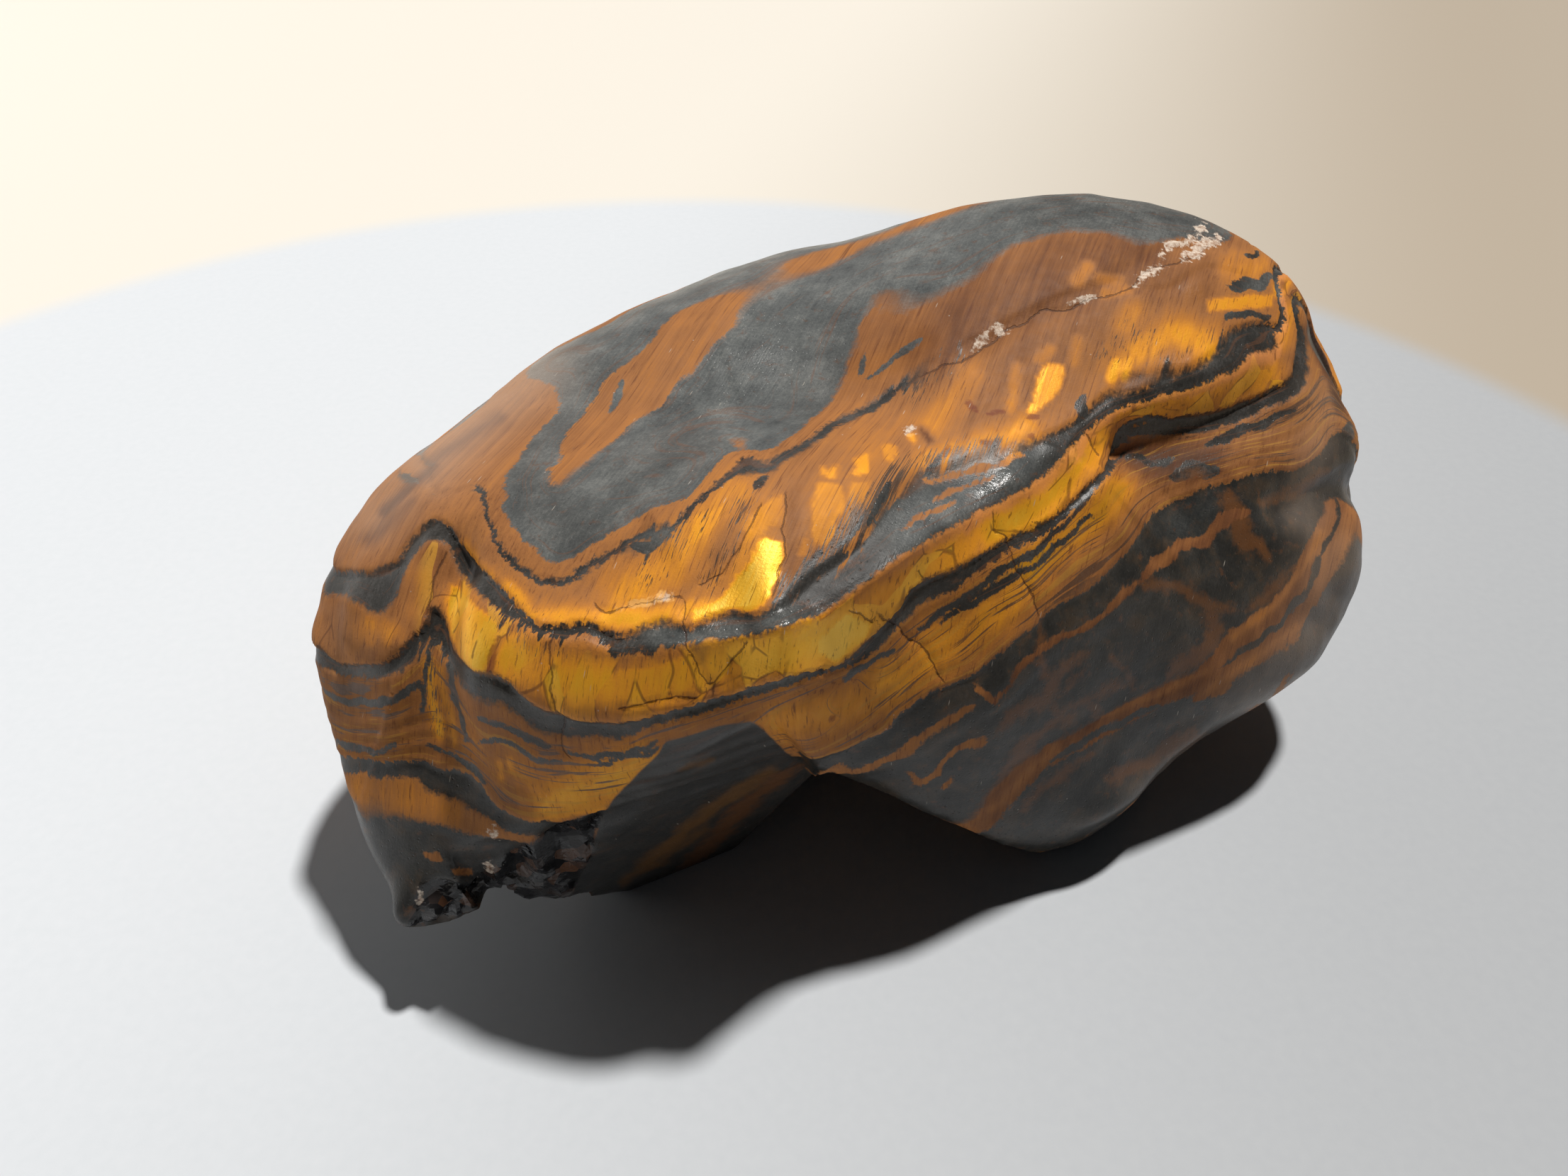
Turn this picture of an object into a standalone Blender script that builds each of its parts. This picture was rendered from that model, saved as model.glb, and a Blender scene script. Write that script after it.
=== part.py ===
"""A tiger iron viewing stone: one polished, banded lump that rests on three worn feet.

World frame in metres, +Z up. X runs along the length of the stone, the front of the
stone faces -Y, and Z = 0 is the surface that it rests on. The survey points below are
in millimetres; the finished stone is moved so that the origin is at the middle of the
bottom of its box.
"""
import bmesh
import bpy
import numpy as np
from mathutils import Vector, noise

NAME = "stone"
MM = 0.001

# Driving dimensions, in millimetres.
HEART = (6.0, 16.0, 22.0)       # the point that every radius is measured from
SPHERE_LEVELS = 7               # subdivisions of the sphere that becomes the stone
FACE_SHARE = 0.112              # share of the sphere's triangles left after thinning
LUMP_SIZE = 17.0                # spacing of the low lumps all over
LUMP_HEIGHT = 0.35              # their height on the polished top and front
ROUGH_HEIGHT = 1.2              # their height on the rougher back
LONG_LINE = 2.5                 # widths of run over which a long ridge or furrow dies out

STONE_COLOUR = (0.20, 0.09, 0.035, 1.0)
STONE_ROUGHNESS = 0.32

# The block that wears the feet flat: everything below the table.
TABLE_CORNER = (-80, -80, -40)
TABLE_EDGES = [(160, 0, 0), (0, 200, 0), (0, 0, 40)]

# Survey of the surface, in millimetres: (x, y, z) points in rows across the stone.
CREST = [
    (-33, 3, 36), (-27, 0, 37), (-21, -6, 36.5), (-11, -9, 37.5), (0, -9, 37.5), (8, -3, 38.5),
    (19, 7, 40), (25, 13, 41), (31, 18, 42), (38, 22, 42.5), (47, 28, 40),
]
TOP = [
    (-28, 8, 38.5), (-19, 12, 40), (-6, 11, 41.5), (11, 11, 42.5), (-7, 27, 43.5), (12, 24, 46.5),
    (24, 24, 48), (38, 30, 47), (-20, 24, 40.5), (5, 36, 44.5), (22, 38, 49), (34, 38, 49),
]
BACK_RIM = [
    (-29, 22, 36), (-25, 30, 36.5), (-18, 36, 38), (-8, 42, 40), (1, 44, 42), (13, 45, 45),
    (28, 46, 47), (38, 45, 46), (46, 43, 44), (50, 39, 42),
]
LEFT_END = [
    (-35.5, 7, 33), (-38, 13.5, 32), (-34.5, 15.5, 34.5), (-40, 9, 30), (-39.5, 4, 28),
    (-41, 2.5, 25), (-40.5, 1, 22), (-39.5, -3.5, 17), (-38, -7, 13), (-35, -10, 11),
    (-33, -13.5, 8.5), (-39, 14, 27), (-37, 20, 20), (-35, 25, 28), (-37, 8, 14),
]
FRONT_LEFT = [
    (-36, -1, 27), (-37, -4, 18), (-16, -12, 31), (-8, -13, 31), (-22, -11, 25), (-25, -11.5, 17),
    (-24, -13, 11), (-18, -12, 8), (-31, -15.5, 9), (-10, -12, 22), (-8, -8, 10),
]
FRONT_RIGHT = [
    (1, -8.5, 31), (10, -1, 33), (20, 6, 35), (2.5, -8, 21), (11, -5.5, 25), (17, -2, 29),
    (10, -6, 14), (17, -5, 9), (23, -3, 15), (27, 3.5, 29), (29, 1, 20), (24, -3, 4),
    (32, 0, 8), (36, 4, 12),
]
RIGHT_END = [
    (33, 14, 36), (34, 12, 33), (38, 14, 33), (48, 22, 34), (52, 34, 40), (53.5, 29, 37),
    (55, 27, 34), (55.5, 25, 31), (54, 17, 28), (56, 17, 24), (55, 15, 20), (52, 11, 18),
    (49, 9, 15), (46, 8, 13), (49, 17, 26), (38, 8, 25), (46, 11, 20), (42, 6, 13),
    (56, 30, 20), (50, 22, 8), (40, 10, 5),
]
BACK = [
    (-30, 34, 24), (-20, 46, 22), (-4, 52, 24), (14, 54, 26), (32, 55, 28), (46, 50, 26),
    (54, 42, 30), (54, 42, 16), (40, 52, 12), (20, 52, 10), (0, 49, 10), (-18, 42, 9),
    (-30, 28, 11), (44, 47, 37), (20, 52, 38), (-4, 49, 34), (-18, 43, 32),
]
UNDERSIDE = [
    (-32, -10, 7.5), (-26, -8, 6), (-20, -5, 2), (-14, -2, -2.5), (-8, 3, -3), (-12, 10, -1.5),
    (-30, 4, 8), (-23, 10, 5), (-20, 28, 6), (0, 20, 4.5), (12, 16, 4.5), (24, 4, -2.5),
    (30, 9, -3), (42, 16, 5), (44, 32, 5.5), (28, 24, 4.5), (8, 28, 4.5), (30, 42, 5),
    (2, 42, -3), (12, 44, -2), (-8, 36, 2),
]
SURVEY = CREST + TOP + BACK_RIM + LEFT_END + FRONT_LEFT + FRONT_RIGHT + RIGHT_END + BACK + UNDERSIDE

# Ridges (positive) and furrows (negative) worked into the surface: the line that each
# follows, its half width and its height, in millimetres.
RELIEF = [
    ("flute beside the left lobe", -2.7, 2.7,
     [(-25, 3, 39), (-26.5, -1, 36.5), (-28, -4, 33), (-28.5, -6, 30), (-28, -9, 24.5), (-26.5, -11, 18)]),
    ("left lobe", 1.2, 3.0, [(-33, 4, 36), (-34.5, -1, 31), (-35, -4, 25)]),
    ("tooth at the lower left", 2.8, 2.6, [(-30.5, -14.5, 10), (-30.5, -17.5, 7)]),
    ("nose on the left end", 0.6, 2.0, [(-40.5, 6, 26), (-40, -1, 25)]),
    ("end of the gold band", 1.0, 2.0, [(-24, -3, 37), (-23.5, -8, 33), (-23.5, -10, 29)]),
    ("sharp crest", 0.8, 2.0,
     [(-22, -7, 35.5), (-11, -9.5, 37.5), (0, -9.5, 38), (8, -3.5, 39), (13, 1.5, 39.5),
      (18.5, 6, 40), (24, 11, 41), (28, 14.5, 41), (33, 17.5, 41.5), (39, 21, 41.5), (46, 26, 40)]),
    ("furrow below the gold band", -0.7, 1.8, [(-22, -9.5, 27.5), (-14, -12, 29), (-6, -12.5, 30)]),
    ("pocket under the gold band", -3.4, 2.6,
     [(26, 11.5, 37), (30, 14.5, 37.5), (34, 16, 37.5), (39, 18, 37.5), (44, 22, 37), (49, 26, 36.5)]),
    ("valley on the right end", -1.2, 2.6, [(54.5, 21, 30), (51.5, 16.5, 27), (49.5, 12.5, 21.5)]),
    ("dark swelling", 1.2, 7.0, [(35, 6.5, 25), (41, 9, 25)]),
    ("upper right knob", 0.8, 3.5, [(54, 27, 34), (55, 25, 33)]),
    ("lower right rim", 0.9, 2.0, [(25, -3, 7), (32, 0, 9), (37, 4, 11.5), (42, 6, 13)]),
    ("open crack on the top", -0.6, 1.1,
     [(14, 16, 45), (20, 20, 46.5), (27.5, 23.5, 47.5), (33, 29, 48.5), (42, 36, 47.5)]),
]

# Natural breaks, each cut by a slanted block: a corner and the three edges that leave it.
BREAKS = {
    "notch": ((3.5, 1.0, 8.0), [(-7.5, -18.0, 33.2), (-26.4, 1.3, -34.4), (26.0, -29.0, -4.0)]),
    "hollow": ((7.4, 11.8, 7.9), [(-7.5, -35.0, 21.5), (30.0, 4.0, -23.5), (-11.4, 2.7, -20.0)]),
    "prow face": ((-27.8, -12.5, 16.8), [(22.5, 0.9, 5.6), (-1.0, -9.0, 1.0), (5.0, 2.6, -15.0)]),
    "tooth underside": ((-36.5, -26.8, 7.5), [(12.1, 6.0, 4.4), (3.0, 33.0, -6.0), (0.0, 0.0, -15.0)]),
    "back break": ((-34.0, 39.6, 41.7), [(44.0, 22.5, 0.0), (0.0, -6.7, -39.4), (-6.8, 13.2, -2.3)]),
    "prow underside": ((-25.7, -21.0, 10.9), [(6.9, 3.6, -5.3), (3.0, 33.0, -4.0), (0.0, 0.0, -15.0)]),
}


def radius_over_directions(points, directions):
    """Smooth radius in each direction from the heart, through every surveyed point."""
    arms = np.array(points, float) - np.array(HEART)
    radii = np.linalg.norm(arms, axis=1)
    knots = arms / radii[:, None]
    gaps = np.linalg.norm(knots[:, None] - knots[None], axis=2)
    count = len(knots)
    plain = np.hstack([np.ones((count, 1)), knots])
    system = np.zeros((count + 4, count + 4))
    system[:count, :count] = gaps ** 3 + 0.002 * np.eye(count)
    system[:count, count:] = plain
    system[count:, :count] = plain.T
    weights = np.linalg.solve(system, np.concatenate([radii, np.zeros(4)]))
    reach = np.linalg.norm(directions[:, None] - knots[None], axis=2)
    smooth = reach ** 3 @ weights[:count]
    return smooth + weights[count] + directions @ weights[count + 1:]


def line_profile(places, line, width):
    """A smooth ridge of height 1 along a line of points; a long one fades at its ends."""
    nearest = np.full(len(places), np.inf)
    travel = np.zeros(len(places))
    length = 0.0
    for start, end in zip(line[:-1], line[1:]):
        start = np.array(start, float)
        run = np.array(end, float) - start
        step = np.linalg.norm(run)
        along = np.clip((places - start) @ run / (run @ run), 0.0, 1.0)
        gap = np.linalg.norm(places - start - along[:, None] * run, axis=1)
        closer = gap < nearest
        nearest[closer] = gap[closer]
        travel[closer] = length + along[closer] * step
        length += step
    profile = np.exp(-(nearest / width) ** 2)
    if length > LONG_LINE * width:
        fade = min(0.4 * length, LONG_LINE * width)
        ends = np.clip(np.minimum(travel, length - travel) / fade, 0.0, 1.0)
        profile *= ends * ends * (3.0 - 2.0 * ends)
    return profile


def lump_heights(places):
    """Low lumps everywhere, taller on the back."""
    heights = np.empty(len(places))
    for index, place in enumerate(places):
        rough = min(1.0, max(0.0, (place[1] - 40.0) / 10.0))
        wave = noise.fractal(Vector(place) / LUMP_SIZE, 0.8, 2.1, 3, noise_basis="PERLIN_ORIGINAL")
        heights[index] = wave * (LUMP_HEIGHT + (ROUGH_HEIGHT - LUMP_HEIGHT) * rough)
    return heights


def make_body():
    """The stone before it was broken: a sphere pushed out to the surveyed surface."""
    bpy.ops.mesh.primitive_ico_sphere_add(subdivisions=SPHERE_LEVELS, radius=1.0)
    body = bpy.context.object
    body.name = NAME
    mesh = body.data
    flat = np.empty(len(mesh.vertices) * 3)
    mesh.vertices.foreach_get("co", flat)
    directions = flat.reshape(-1, 3)
    directions /= np.linalg.norm(directions, axis=1)[:, None]
    radius = radius_over_directions(SURVEY, directions)
    places = np.array(HEART) + directions * radius[:, None]
    lift = lump_heights(places)
    for _, height, width, line in RELIEF:
        lift += height * line_profile(places, line, width)
    places += directions * lift[:, None]
    mesh.vertices.foreach_set("co", (places * MM).ravel())
    mesh.update()
    return body


def make_material():
    """Polished tiger iron seen as one mean colour: rusty brown with a waxy polish."""
    stone = bpy.data.materials.new("tiger iron")
    stone.use_nodes = True
    shader = stone.node_tree.nodes["Principled BSDF"]
    shader.inputs["Base Color"].default_value = STONE_COLOUR
    shader.inputs["Roughness"].default_value = STONE_ROUGHNESS
    shader.inputs["Metallic"].default_value = 0.0
    return stone


def move_to(thing, collection):
    for home in list(thing.users_collection):
        home.objects.unlink(thing)
    collection.objects.link(thing)


def make_cutter(name, corner, edges):
    """A slanted block that spans the three edges from its corner."""
    bpy.ops.mesh.primitive_cube_add(size=1.0)
    cutter = bpy.context.object
    cutter.name = name
    for vertex in cutter.data.vertices:
        place = Vector(corner)
        for side, edge in zip(vertex.co, edges):
            place += (side + 0.5) * Vector(edge)
        vertex.co = place * MM
    skin = bmesh.new()
    skin.from_mesh(cutter.data)
    bmesh.ops.recalc_face_normals(skin, faces=skin.faces)
    skin.to_mesh(cutter.data)
    skin.free()
    cutter.hide_render = True
    cutter.display_type = "WIRE"
    return cutter


def cut(body, cutter):
    boolean = body.modifiers.new(f"cut {cutter.name}", "BOOLEAN")
    boolean.operation = "DIFFERENCE"
    boolean.solver = "EXACT"
    boolean.object = cutter


def thin_out(body):
    thin = body.modifiers.new("thin", "DECIMATE")
    thin.ratio = FACE_SHARE


def centre_over_origin(body, others):
    """Carry everything on an empty that puts the middle of the stone's box over the origin."""
    graph = bpy.context.evaluated_depsgraph_get()
    corners = np.array([tuple(corner) for corner in body.evaluated_get(graph).bound_box])
    middle = (corners.min(axis=0) + corners.max(axis=0)) / 2.0
    carrier = bpy.data.objects.new("survey place", None)
    carrier.location = (-middle[0], -middle[1], 0.0)
    bpy.context.scene.collection.objects.link(carrier)
    for thing in [body] + others:
        thing.parent = carrier


def main():
    for thing in list(bpy.data.objects):
        bpy.data.objects.remove(thing, do_unlink=True)
    stone_home = bpy.data.collections.new("viewing stone")
    cutter_home = bpy.data.collections.new("cutters")
    for home in (stone_home, cutter_home):
        bpy.context.scene.collection.children.link(home)

    body = make_body()
    body.data.materials.append(make_material())
    move_to(body, stone_home)
    cutters = [make_cutter(name, corner, edges) for name, (corner, edges) in BREAKS.items()]
    for cutter in cutters:
        cut(body, cutter)
    thin_out(body)
    table = make_cutter("table", TABLE_CORNER, TABLE_EDGES)
    cut(body, table)
    for cutter in cutters + [table]:
        move_to(cutter, cutter_home)
    centre_over_origin(body, cutters + [table])


main()
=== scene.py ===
"""The looks of a polished tiger iron viewing stone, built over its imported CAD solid.

The CAD solid gives the shape. This script refines it into one skin of small faces, works
out which of the stone's layers comes out at each point of that skin, carves its fine
relief, and colours it with shader nodes. Lengths on the stone are in millimetres until
the skin is finished. A place seen in the photograph is given as a pixel of its
2212 x 1659 frame. camera_ray() turns a pixel into a direction in space, and to_pixels()
does the reverse, so each mark sits on the stone itself.
"""
import math
from types import SimpleNamespace

import bmesh
import bpy
import numpy as np
from mathutils import Matrix, Vector, noise
from mathutils.bvhtree import BVHTree
from mathutils.geometry import delaunay_2d_cdt
from mathutils.kdtree import KDTree


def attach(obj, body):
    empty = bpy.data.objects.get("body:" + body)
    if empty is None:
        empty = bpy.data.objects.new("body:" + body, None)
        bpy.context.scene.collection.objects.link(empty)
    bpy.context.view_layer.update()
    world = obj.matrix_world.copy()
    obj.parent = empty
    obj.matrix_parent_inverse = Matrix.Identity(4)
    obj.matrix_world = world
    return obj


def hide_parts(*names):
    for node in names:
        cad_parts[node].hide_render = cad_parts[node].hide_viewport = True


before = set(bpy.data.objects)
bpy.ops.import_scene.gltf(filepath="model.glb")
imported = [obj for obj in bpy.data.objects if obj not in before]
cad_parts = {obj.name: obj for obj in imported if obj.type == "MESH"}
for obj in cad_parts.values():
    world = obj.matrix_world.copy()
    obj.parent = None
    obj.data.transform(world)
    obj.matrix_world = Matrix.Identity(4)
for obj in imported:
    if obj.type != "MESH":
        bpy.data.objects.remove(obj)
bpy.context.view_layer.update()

MM = 0.001

# The photograph's frame, and the camera that took it: lens and sensor in mm of the
# camera, downward tilt in degrees, eye in mm of the stone's frame.
FRAME_WIDTH = 2212
FRAME_HEIGHT = 1659
LENS = 29.0
SENSOR = 36.0
LOOK_DOWN = 40.0
EYE = (-8.163, -98.262, 99.0)
FOCAL = FRAME_WIDTH * LENS / SENSOR

# The skin: size of its faces, how many it may have, and how its facets are smoothed.
# Edges of the CAD solid sharper than CREASE_ANGLE degrees stay crisp for CREASE_REACH mm.
# FACING_BLUR and SEEN_BLUR are the steps that soften the edge of the seen side.
CELL = 0.39
MOST_TRIANGLES = 190000
CREASE_ANGLE = 32.0
CREASE_REACH = 1.1
CREASE_STEP = 0.5
CREASE_HOLD = 0.93
SMOOTHING_STEPS = 50
SMOOTHING_PULL = 0.52
SMOOTHING_PUSH = -0.535
TURNED_AWAY = -0.05
FACING_BLUR = 90
SEEN_BLUR = 14

# Distances in pixels that put a place far outside every mark, and far from every crack.
UNSEEN = -60.0
FAR_OFF = 99.0

# Places worn smooth: (strength, soft radius in pixels, line of pixels), and how many times
# they are smoothed.
WORN = [(1.0, 48, [(640, 900), (655, 960), (662, 1020), (655, 1080)])]
WORN_STEPS = 120

# Soft ridges left by the polish: (rise in mm, reach above and below in pixels, line of
# pixels), and the way they rise.
RIDGES = [
    (1.30, 52, 150, [(640, 880), (700, 900), (790, 912), (860, 926), (960, 914), (1060, 904), (1150, 882),
        (1230, 824), (1310, 764), (1400, 714), (1470, 676), (1520, 606), (1570, 570), (1640, 548),
        (1740, 510), (1800, 480)]),
    (0.60, 22, 60, [(840, 922), (960, 912), (1060, 902), (1150, 880), (1230, 822), (1310, 762),
        (1400, 712)]),
    (0.70, 190, 150, [(1040, 870), (1150, 866), (1230, 806), (1310, 748), (1400, 700), (1470, 660)]),
    (2.30, 120, 150, [(500, 900), (580, 915), (650, 950), (720, 985), (790, 1012), (865, 1024),
        (960, 1002), (1060, 976), (1180, 950)]),
    (3.00, 80, 230, [(1040, 985), (1120, 965), (1180, 946), (1240, 900), (1300, 840), (1360, 806),
        (1430, 768), (1490, 736), (1540, 696), (1580, 650)]),
    (0.55, 60, 60, [(905, 745), (980, 700), (1060, 650)]),
]
RIDGE_WAY = (0.10, -0.64, 0.76)

# Shallow hollows at the right end: (depth in mm, soft radius in pixels, line of pixels).
HOLLOWS = [
    (1.25, 40, [(1884, 470), (1906, 520), (1916, 556)]),
    (1.20, 30, [(1812, 712), (1860, 700), (1914, 690)]),
    (0.60, 30, [(1870, 880), (1890, 850)]),
]

# ------------------------------------------------------------------ layers of the stone
# The stone is a pile of layers. A level counts them upwards, and each line below follows
# one level where it comes out on the surface.
LAYER_LINES = [
    # the orange wedge in the blue-grey patch on the top
    (19.0, [(1110, 368), (1080, 400), (1050, 430), (1030, 465), (1000, 495), (980, 520), (950, 545),
        (940, 568), (900, 592), (870, 618), (845, 636), (825, 656), (802, 671), (790, 683), (775, 681),
        (776, 671), (787, 658), (792, 642), (788, 627), (797, 612), (810, 598), (822, 584), (838, 562),
        (850, 540), (870, 520), (900, 500), (920, 480), (930, 465)]),
    # the outline of that patch
    (16.0, [(760, 536), (785, 548), (788, 562), (788, 580), (772, 597), (752, 617), (737, 640),
        (722, 660), (713, 675), (711, 690), (715, 702), (706, 712), (711, 723), (720, 740), (730, 752),
        (738, 765), (752, 771), (765, 785), (778, 792), (800, 792), (813, 785), (827, 774), (850, 758),
        (866, 750), (886, 738), (906, 727), (920, 716), (945, 710), (962, 703), (980, 690), (1003, 663),
        (1027, 640), (1053, 625), (1060, 634), (1083, 633), (1107, 620), (1127, 607), (1140, 595),
        (1170, 570), (1182, 548), (1192, 530), (1200, 500), (1215, 465), (1230, 430), (1243, 410),
        (1262, 415), (1275, 434), (1300, 428), (1340, 408), (1370, 393), (1400, 365), (1430, 345),
        (1480, 331), (1510, 325), (1550, 327), (1585, 332), (1603, 341), (1631, 341), (1652, 337)]),
    (14.6, [(683, 690), (690, 712), (690, 733), (699, 751), (707, 768), (721, 783), (735, 797),
        (749, 809), (766, 816), (785, 817), (799, 813), (824, 798), (844, 786), (864, 772), (890, 755),
        (918, 742), (947, 740), (963, 722), (990, 700), (1023, 667), (1050, 642), (1080, 650),
        (1104, 637), (1130, 622), (1150, 612), (1176, 591), (1200, 582), (1230, 567), (1254, 549),
        (1270, 538)]),
    (14.2, [(677, 694), (683, 713), (684, 736), (692, 754), (701, 773), (714, 790), (729, 806),
        (746, 818), (765, 826), (786, 828), (802, 824), (828, 809), (850, 796), (872, 782), (897, 776),
        (922, 777), (940, 764), (955, 742), (975, 727), (1000, 702), (1028, 677), (1056, 668),
        (1085, 668), (1108, 650), (1134, 634), (1156, 622), (1180, 604), (1205, 591), (1235, 578),
        (1258, 561), (1275, 548)]),
    # upper edge of the grey layer over the gold band
    (12.0, [(460, 802), (477, 805), (502, 807), (522, 807), (545, 800), (560, 790), (566, 775),
        (578, 758), (595, 742), (615, 733), (630, 739), (641, 752), (652, 772), (665, 790), (690, 813),
        (715, 838), (732, 857), (747, 874), (765, 882), (790, 882), (815, 877), (840, 881), (858, 893),
        (877, 898), (900, 885), (927, 875), (947, 877), (970, 886), (997, 872), (1030, 863), (1067, 866),
        (1087, 857), (1113, 846), (1147, 812), (1180, 790), (1213, 763), (1230, 738), (1253, 705),
        (1280, 680), (1296, 664), (1322, 663), (1350, 655), (1380, 645), (1400, 638), (1424, 633),
        (1446, 627), (1478, 611), (1500, 602), (1530, 585), (1550, 562), (1573, 548), (1596, 539),
        (1620, 530), (1643, 523), (1678, 518), (1689, 511), (1713, 497), (1724, 483), (1736, 467),
        (1754, 458), (1782, 454), (1799, 459)]),
    # lower edge of that grey layer
    (11.0, [(458, 838), (490, 841), (507, 853), (522, 865), (535, 867), (547, 857), (557, 842),
        (562, 825), (572, 800), (587, 776), (602, 763), (615, 760), (626, 768), (635, 780), (645, 800),
        (657, 820), (672, 838), (690, 856), (705, 866), (722, 873), (745, 888), (762, 893), (782, 897),
        (805, 900), (830, 898), (845, 910), (860, 918), (885, 921), (915, 919), (950, 912), (980, 907),
        (1010, 901), (1040, 898), (1075, 894), (1110, 882), (1140, 872), (1163, 866), (1197, 840),
        (1230, 813), (1258, 795), (1290, 775), (1310, 762), (1340, 746), (1370, 730), (1400, 714),
        (1430, 700), (1450, 688), (1470, 674), (1490, 656), (1510, 636), (1531, 612), (1550, 594),
        (1573, 579), (1596, 572), (1620, 565), (1643, 558), (1678, 548), (1701, 541), (1731, 527),
        (1752, 518), (1758, 506), (1775, 497), (1794, 496), (1803, 484), (1801, 468)]),
    # upper edge of the gold band
    (10.7, [(635, 812), (652, 832), (670, 851), (690, 866), (705, 882), (722, 887), (747, 896),
        (772, 905), (802, 904), (830, 903), (841, 917), (860, 930), (890, 932), (927, 928), (977, 922),
        (1007, 918), (1057, 907), (1100, 904), (1127, 897), (1150, 886), (1172, 870)]),
    # lower edge of the gold band
    (9.0, [(455, 921), (472, 934), (490, 939), (515, 939), (540, 936), (553, 928), (570, 915), (582, 901),
        (590, 893), (600, 878), (606, 864), (614, 857), (624, 868), (631, 890), (636, 915), (652, 937),
        (670, 950), (700, 955), (720, 966), (730, 980), (747, 993), (765, 1005), (790, 1011), (815, 1019),
        (840, 1022), (865, 1024), (890, 1021), (915, 1014), (960, 1002), (1023, 983), (1060, 972),
        (1100, 960), (1140, 950), (1180, 943), (1200, 930), (1230, 900), (1250, 883), (1270, 863),
        (1283, 840), (1300, 823), (1350, 802), (1380, 786), (1423, 760), (1466, 740), (1494, 723),
        (1517, 703), (1540, 680), (1557, 663), (1566, 645), (1573, 616), (1582, 602), (1601, 591),
        (1624, 587), (1657, 590), (1689, 586), (1722, 580), (1754, 569), (1778, 558), (1801, 546),
        (1822, 534), (1828, 512), (1834, 488), (1834, 465), (1826, 440)]),
    # lower edge of the grey layer under the gold band
    (8.4, [(457, 943), (477, 951), (502, 957), (535, 957), (560, 950), (575, 940), (590, 926), (600, 912),
        (612, 903), (621, 915), (630, 935), (647, 962), (665, 985), (685, 992), (710, 997), (727, 1008),
        (750, 1026), (772, 1036), (800, 1041), (840, 1041), (865, 1045), (890, 1040), (915, 1028),
        (1213, 937), (1240, 913), (1273, 880), (1300, 853), (1350, 832), (1380, 808), (1423, 780),
        (1460, 763), (1494, 739), (1517, 718), (1540, 698), (1557, 676), (1571, 662), (1585, 646),
        (1610, 628), (1643, 614), (1678, 611), (1713, 605), (1747, 596), (1771, 587), (1789, 576),
        (1817, 565), (1840, 551), (1851, 527), (1854, 481), (1850, 446)]),
    (7.95, [(457, 966), (477, 977), (500, 984), (530, 985), (558, 982), (577, 968), (590, 954),
        (603, 938), (640, 975), (657, 1002), (675, 1026), (700, 1033), (722, 1036), (742, 1053),
        (765, 1062), (790, 1063), (815, 1066), (840, 1068), (865, 1066), (885, 1060), (915, 1045),
        (1240, 930), (1280, 892), (1320, 862), (1380, 822), (1437, 790), (1490, 752), (1530, 716),
        (1551, 700)]),
    # lower edge of the wide fibrous layer
    (5.0, [(472, 1065), (502, 1070), (527, 1072), (552, 1075), (577, 1072), (600, 1075), (615, 1085),
        (638, 1086), (660, 1092), (680, 1110), (690, 1125), (702, 1140), (720, 1150), (747, 1160),
        (765, 1159), (790, 1162), (810, 1156), (835, 1150), (1110, 1064), (1150, 1072), (1190, 1060),
        (1230, 1040), (1252, 1030), (1264, 1012), (1282, 998), (1300, 985), (1320, 972), (1350, 962),
        (1380, 950), (1409, 923), (1437, 900), (1460, 886), (1471, 871), (1494, 854), (1523, 840),
        (1551, 820), (1569, 800), (1580, 789), (1597, 771), (1609, 754), (1620, 734), (1637, 717),
        (1654, 706), (1674, 700), (1694, 691), (1723, 683), (1760, 671), (1794, 663), (1826, 664),
        (1849, 655), (1866, 637), (1880, 616)]),
    (4.25, [(477, 1097), (490, 1091), (510, 1090), (535, 1097), (548, 1099), (565, 1096), (585, 1098),
        (600, 1119), (620, 1122), (640, 1130), (665, 1141), (685, 1153), (700, 1163)]),
    # the orange stripe on the dark right flank
    (4.0, [(1155, 1090), (1197, 1087), (1230, 1077), (1260, 1064), (1290, 1050), (1313, 1033),
        (1347, 1010), (1373, 992), (1417, 979), (1443, 951), (1466, 926), (1480, 909), (1503, 894),
        (1537, 883), (1566, 866), (1580, 849), (1591, 826), (1617, 809), (1646, 789), (1674, 769),
        (1700, 757), (1723, 731), (1746, 723), (1766, 720), (1794, 706), (1826, 697), (1851, 683),
        (1880, 660)]),
    (3.7, [(485, 1150), (515, 1150), (535, 1146), (557, 1152), (597, 1160), (627, 1166), (652, 1175),
        (670, 1178)]),
    (3.2, [(1283, 1100), (1313, 1095), (1337, 1073), (1380, 1047), (1427, 1007), (1460, 985), (1480, 963),
        (1503, 946), (1530, 930)]),
    (2.7, [(1389, 1071), (1420, 1052), (1460, 1030), (1503, 1003), (1534, 986), (1574, 969),
        (1600, 958)]),
    # the wide orange stripe low on the right end
    (2.0, [(1375, 1150), (1400, 1113), (1429, 1085), (1466, 1060), (1509, 1037), (1560, 1010),
        (1591, 992), (1637, 968), (1666, 957), (1700, 947), (1717, 923), (1746, 894), (1774, 869),
        (1803, 849), (1826, 831), (1837, 806), (1846, 780), (1866, 746), (1883, 714)]),
    (1.2, [(1415, 1150), (1446, 1106), (1480, 1080), (1530, 1055), (1575, 1030), (1610, 1010),
        (1650, 990), (1690, 979), (1723, 969), (1760, 946), (1803, 917), (1831, 894), (1851, 863),
        (1871, 829), (1894, 791), (1908, 755)]),
    (0.0, [(1470, 1180), (1530, 1160), (1590, 1120), (1650, 1075), (1700, 1055), (1740, 1040),
        (1770, 1005), (1800, 975), (1840, 935), (1880, 880)]),
]

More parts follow.
